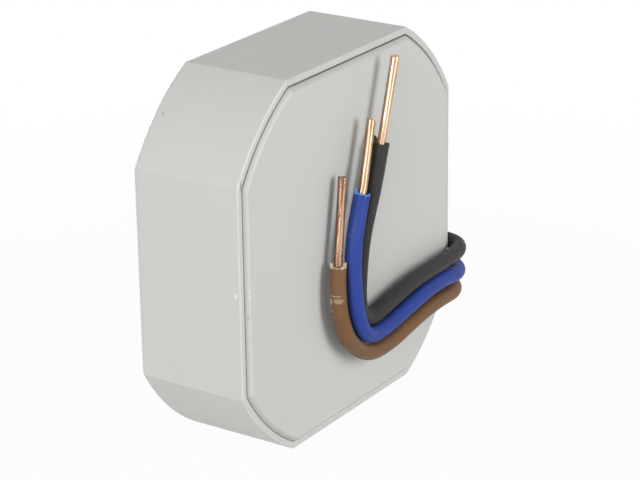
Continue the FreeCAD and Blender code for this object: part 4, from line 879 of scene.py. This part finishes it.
# Dial scale, printed in the sunk face at the back round the knob, in millimetres: plain numbers over
# the knob's turn, lowest at its one end and highest at the other
KNOB_TURN = next(joint for joint in frame["joints"] if joint["child"] == "time_knob")
KNOB_MIN, KNOB_MAX = KNOB_TURN["range_deg"]
KNOB_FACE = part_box("time_knob")[1][1] / MM
KNOB_FACE_BELOW = 0.05
DIAL_MIDDLE = Vector((KNOB_TURN["pos_m"][0] / MM, KNOB_FACE + KNOB_FACE_BELOW, KNOB_TURN["pos_m"][2] / MM))
DIAL_NUMBERS = 10
TICKS_PER_NUMBER = 2
TICK_FROM = 3.35
TICK_TAPER = 0.7
LONG_TICK = (1.05, 0.085)
SHORT_TICK = (0.55, 0.06)
NUMBER_RADIUS = 5.75
NUMBER_HEIGHT = 1.35
NUMERAL_IN_FONT_SIZE = 0.72
PRINT_HEIGHT = 0.02
INTO_FACE = 0.01


def print_finish(name, colour):
    """Screen print: a thin matt film, slightly uneven and worn."""
    material, graph, shader = new_finish(name, Specular_IOR_Level=0.3)
    tone = graph.group("patches", {"Place": object_place(graph), "Size": 0.3 * MM})["Tone"]
    graph.feed(shader, "Base Color", tinted(graph, colour, graph.spread(tone, 0.8, 1.35)))
    graph.feed(shader, "Roughness", graph.spread(tone, 0.5, 0.7))
    bump(graph, shader, tone, 0.4, 0.004 * MM)
    return material


def dial_place(degrees, radius):
    """A place on the dial face. 0 degrees is up, and more turns left as seen from behind, as the
    knob does."""
    turn = math.radians(degrees)
    return DIAL_MIDDLE + Vector((math.sin(turn), 0, math.cos(turn))) * radius


def printed(name, outline, level=0.0):
    """A thin plate over an outline that runs clockwise as seen from behind, sunk a little into the
    face that it is on. The level is that face's height over the dial face."""
    out = Vector((0, 1, 0))
    low = [(point + out * (level - INTO_FACE)) * MM for point in outline]
    high = [(point + out * (level + PRINT_HEIGHT)) * MM for point in outline]
    count = len(outline)
    faces = [tuple(range(count)), tuple(range(count, 2 * count))[::-1]]
    for at in range(count):
        after = (at + 1) % count
        faces.append((at, at + count, after + count, after))
    mesh = bpy.data.meshes.new(name)
    mesh.from_pydata(low + high, [], faces)
    mesh.update()
    return placed(name, mesh)


def tick_outline(degrees, length, half_width):
    """A tick that tapers inward."""
    along = (dial_place(degrees, 1) - DIAL_MIDDLE).normalized()
    side = Vector((along.z, 0, -along.x)) * half_width
    inner = dial_place(degrees, TICK_FROM)
    outer = dial_place(degrees, TICK_FROM + length)
    return [inner + side * TICK_TAPER, outer + side, outer - side, inner - side * TICK_TAPER]


def number_piece(value, degrees):
    """A plain numeral as a thin raised print, upright on the dial."""
    curve = bpy.data.curves.new(f"number_{value}", "FONT")
    curve.body = str(value)
    curve.size = NUMBER_HEIGHT / NUMERAL_IN_FONT_SIZE * MM
    curve.align_x = "CENTER"
    curve.align_y = "CENTER"
    curve.extrude = (PRINT_HEIGHT + INTO_FACE) / 2 * MM
    writing = placed(f"number_{value}", curve)
    bpy.context.view_layer.update()
    mesh = bpy.data.meshes.new_from_object(writing)
    bpy.data.objects.remove(writing)
    middle = dial_place(degrees, NUMBER_RADIUS) + Vector((0, (PRINT_HEIGHT - INTO_FACE) / 2, 0))
    facing_back = Matrix(((-1, 0, 0), (0, 0, 1), (0, 1, 0))).to_4x4()
    mesh.transform(Matrix.Translation(middle * MM) @ facing_back)
    return placed(f"dial_number_{value}", mesh)


def make_dial():
    ink = print_finish("dial_print", (0.06, 0.062, 0.065))
    pieces = []
    count = (DIAL_NUMBERS - 1) * TICKS_PER_NUMBER
    for at in range(count + 1):
        degrees = KNOB_MAX - (KNOB_MAX - KNOB_MIN) * at / count
        numbered = at % TICKS_PER_NUMBER == 0
        tick = tick_outline(degrees, *(LONG_TICK if numbered else SHORT_TICK))
        pieces.append(printed(f"dial_tick_{at}", tick))
        if numbered:
            pieces.append(number_piece(1 + at // TICKS_PER_NUMBER, degrees))
    for piece in pieces:
        piece.data.materials.clear()
        piece.data.materials.append(ink)
        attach(piece, "case")


# The pointer on the knob, from the knob's middle
POINTER_TIP = 2.35
POINTER_FOOT = 1.05
POINTER_NOTCH = 1.3
POINTER_HALF_WIDTH = 0.5


def make_pointer():
    """The arrow printed on the knob's face, which points to the number."""
    side = Vector((POINTER_HALF_WIDTH, 0, 0))
    foot = dial_place(0, POINTER_FOOT)
    outline = [dial_place(0, POINTER_TIP), foot - side, dial_place(0, POINTER_NOTCH), foot + side]
    pointer = printed("knob_pointer", outline, -KNOB_FACE_BELOW)
    pointer.data.materials.append(print_finish("pointer_print", (0.45, 0.04, 0.03)))
    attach(pointer, "time_knob")


make_dial()
make_pointer()


# Light and surroundings

# Soft boxes: name, place in metres, width, height, and the level that a white face turned to that
# light alone would show
LIGHTS = [
    ("front_light", (0.02, -1.0, 0.37), 0.40, 0.76, 0.58),
    ("left_light", (-1.0, -0.1, 0.25), 0.8, 0.8, 0.88),
    ("back_light", (0.45, 1.0, 0.11), 0.6, 0.18, 0.5),
]
MODULE_MIDDLE = Vector((0, 0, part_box("housing")[1][2] / 2))
AMBIENT = 0.25
WHITE = (1, 1, 1, 1)

# The floor shines a little less than white up to SHINE_FROM and is white past SHINE_TO, in metres
FLOOR_REACH = 3.0
PAPER = (0.60, 0.60, 0.60, 1)
SHINE_FROM = 0.05
SHINE_TO = 0.14
SHINE_NEAR = 0.96


def soft_light(name, place, width, height, level):
    """A soft box that faces the module."""
    lamp = bpy.data.lights.new(name, "AREA")
    lamp.shape = "RECTANGLE"
    lamp.size = width
    lamp.size_y = height
    step = Vector(place) - MODULE_MIDDLE
    # White shows a lamp's energy over pi squared and over its distance squared
    lamp.energy = level * math.pi ** 2 * step.length_squared
    holder = placed(name, lamp)
    holder.location = place
    holder.rotation_euler = step.to_track_quat("Z", "Y").to_euler()


def white_ways(graph):
    """1 for rays that should meet plain white: from the camera, or off gloss, or through glass."""
    path = graph.add("LightPath").outputs
    seen = graph.math("MAXIMUM", path["Is Camera Ray"], path["Is Glossy Ray"])
    return graph.math("MAXIMUM", seen, path["Is Transmission Ray"])


def make_world():
    world = bpy.data.worlds.new("plain_room")
    bpy.context.scene.world = world
    world.use_nodes = True
    graph = Graph(world.node_tree)
    world.node_tree.nodes.clear()
    dim = graph.add("Background", {"Color": WHITE, "Strength": AMBIENT})
    white = graph.add("Background", {"Color": WHITE, "Strength": 1.0})
    both = graph.add("MixShader", {0: white_ways(graph), 1: dim.outputs[0], 2: white.outputs[0]})
    graph.add("OutputWorld", {"Surface": both.outputs[0]})


def make_floor():
    """Pale paper that shines to the eye and lights the module as plain paper does."""
    corners = [(across * FLOOR_REACH, deep * FLOOR_REACH, 0) for across, deep in
               ((-1, -1), (1, -1), (1, 1), (-1, 1))]
    mesh = bpy.data.meshes.new("floor")
    mesh.from_pydata(corners, [], [(0, 1, 2, 3)])
    floor = placed("floor", mesh)
    material = bpy.data.materials.new("pale_floor")
    material.use_nodes = True
    material.node_tree.nodes.clear()
    graph = Graph(material.node_tree)
    away = graph.vector_math("LENGTH", object_place(graph))
    paper = graph.add("BsdfDiffuse", {"Color": PAPER})
    shine = graph.add("Emission", {"Color": WHITE, "Strength": 1.0})
    share = graph.ramp(away, SHINE_FROM, SHINE_TO, SHINE_NEAR, 1.0)
    glow = graph.add("MixShader", {0: share, 1: paper.outputs[0], 2: shine.outputs[0]})
    both = graph.add("MixShader", {0: white_ways(graph), 1: paper.outputs[0], 2: glow.outputs[0]})
    graph.add("OutputMaterial", {"Surface": both.outputs[0]})
    mesh.materials.append(material)


for light in LIGHTS:
    soft_light(*light)
make_world()
make_floor()
bpy.context.scene.view_settings.view_transform = "Standard"
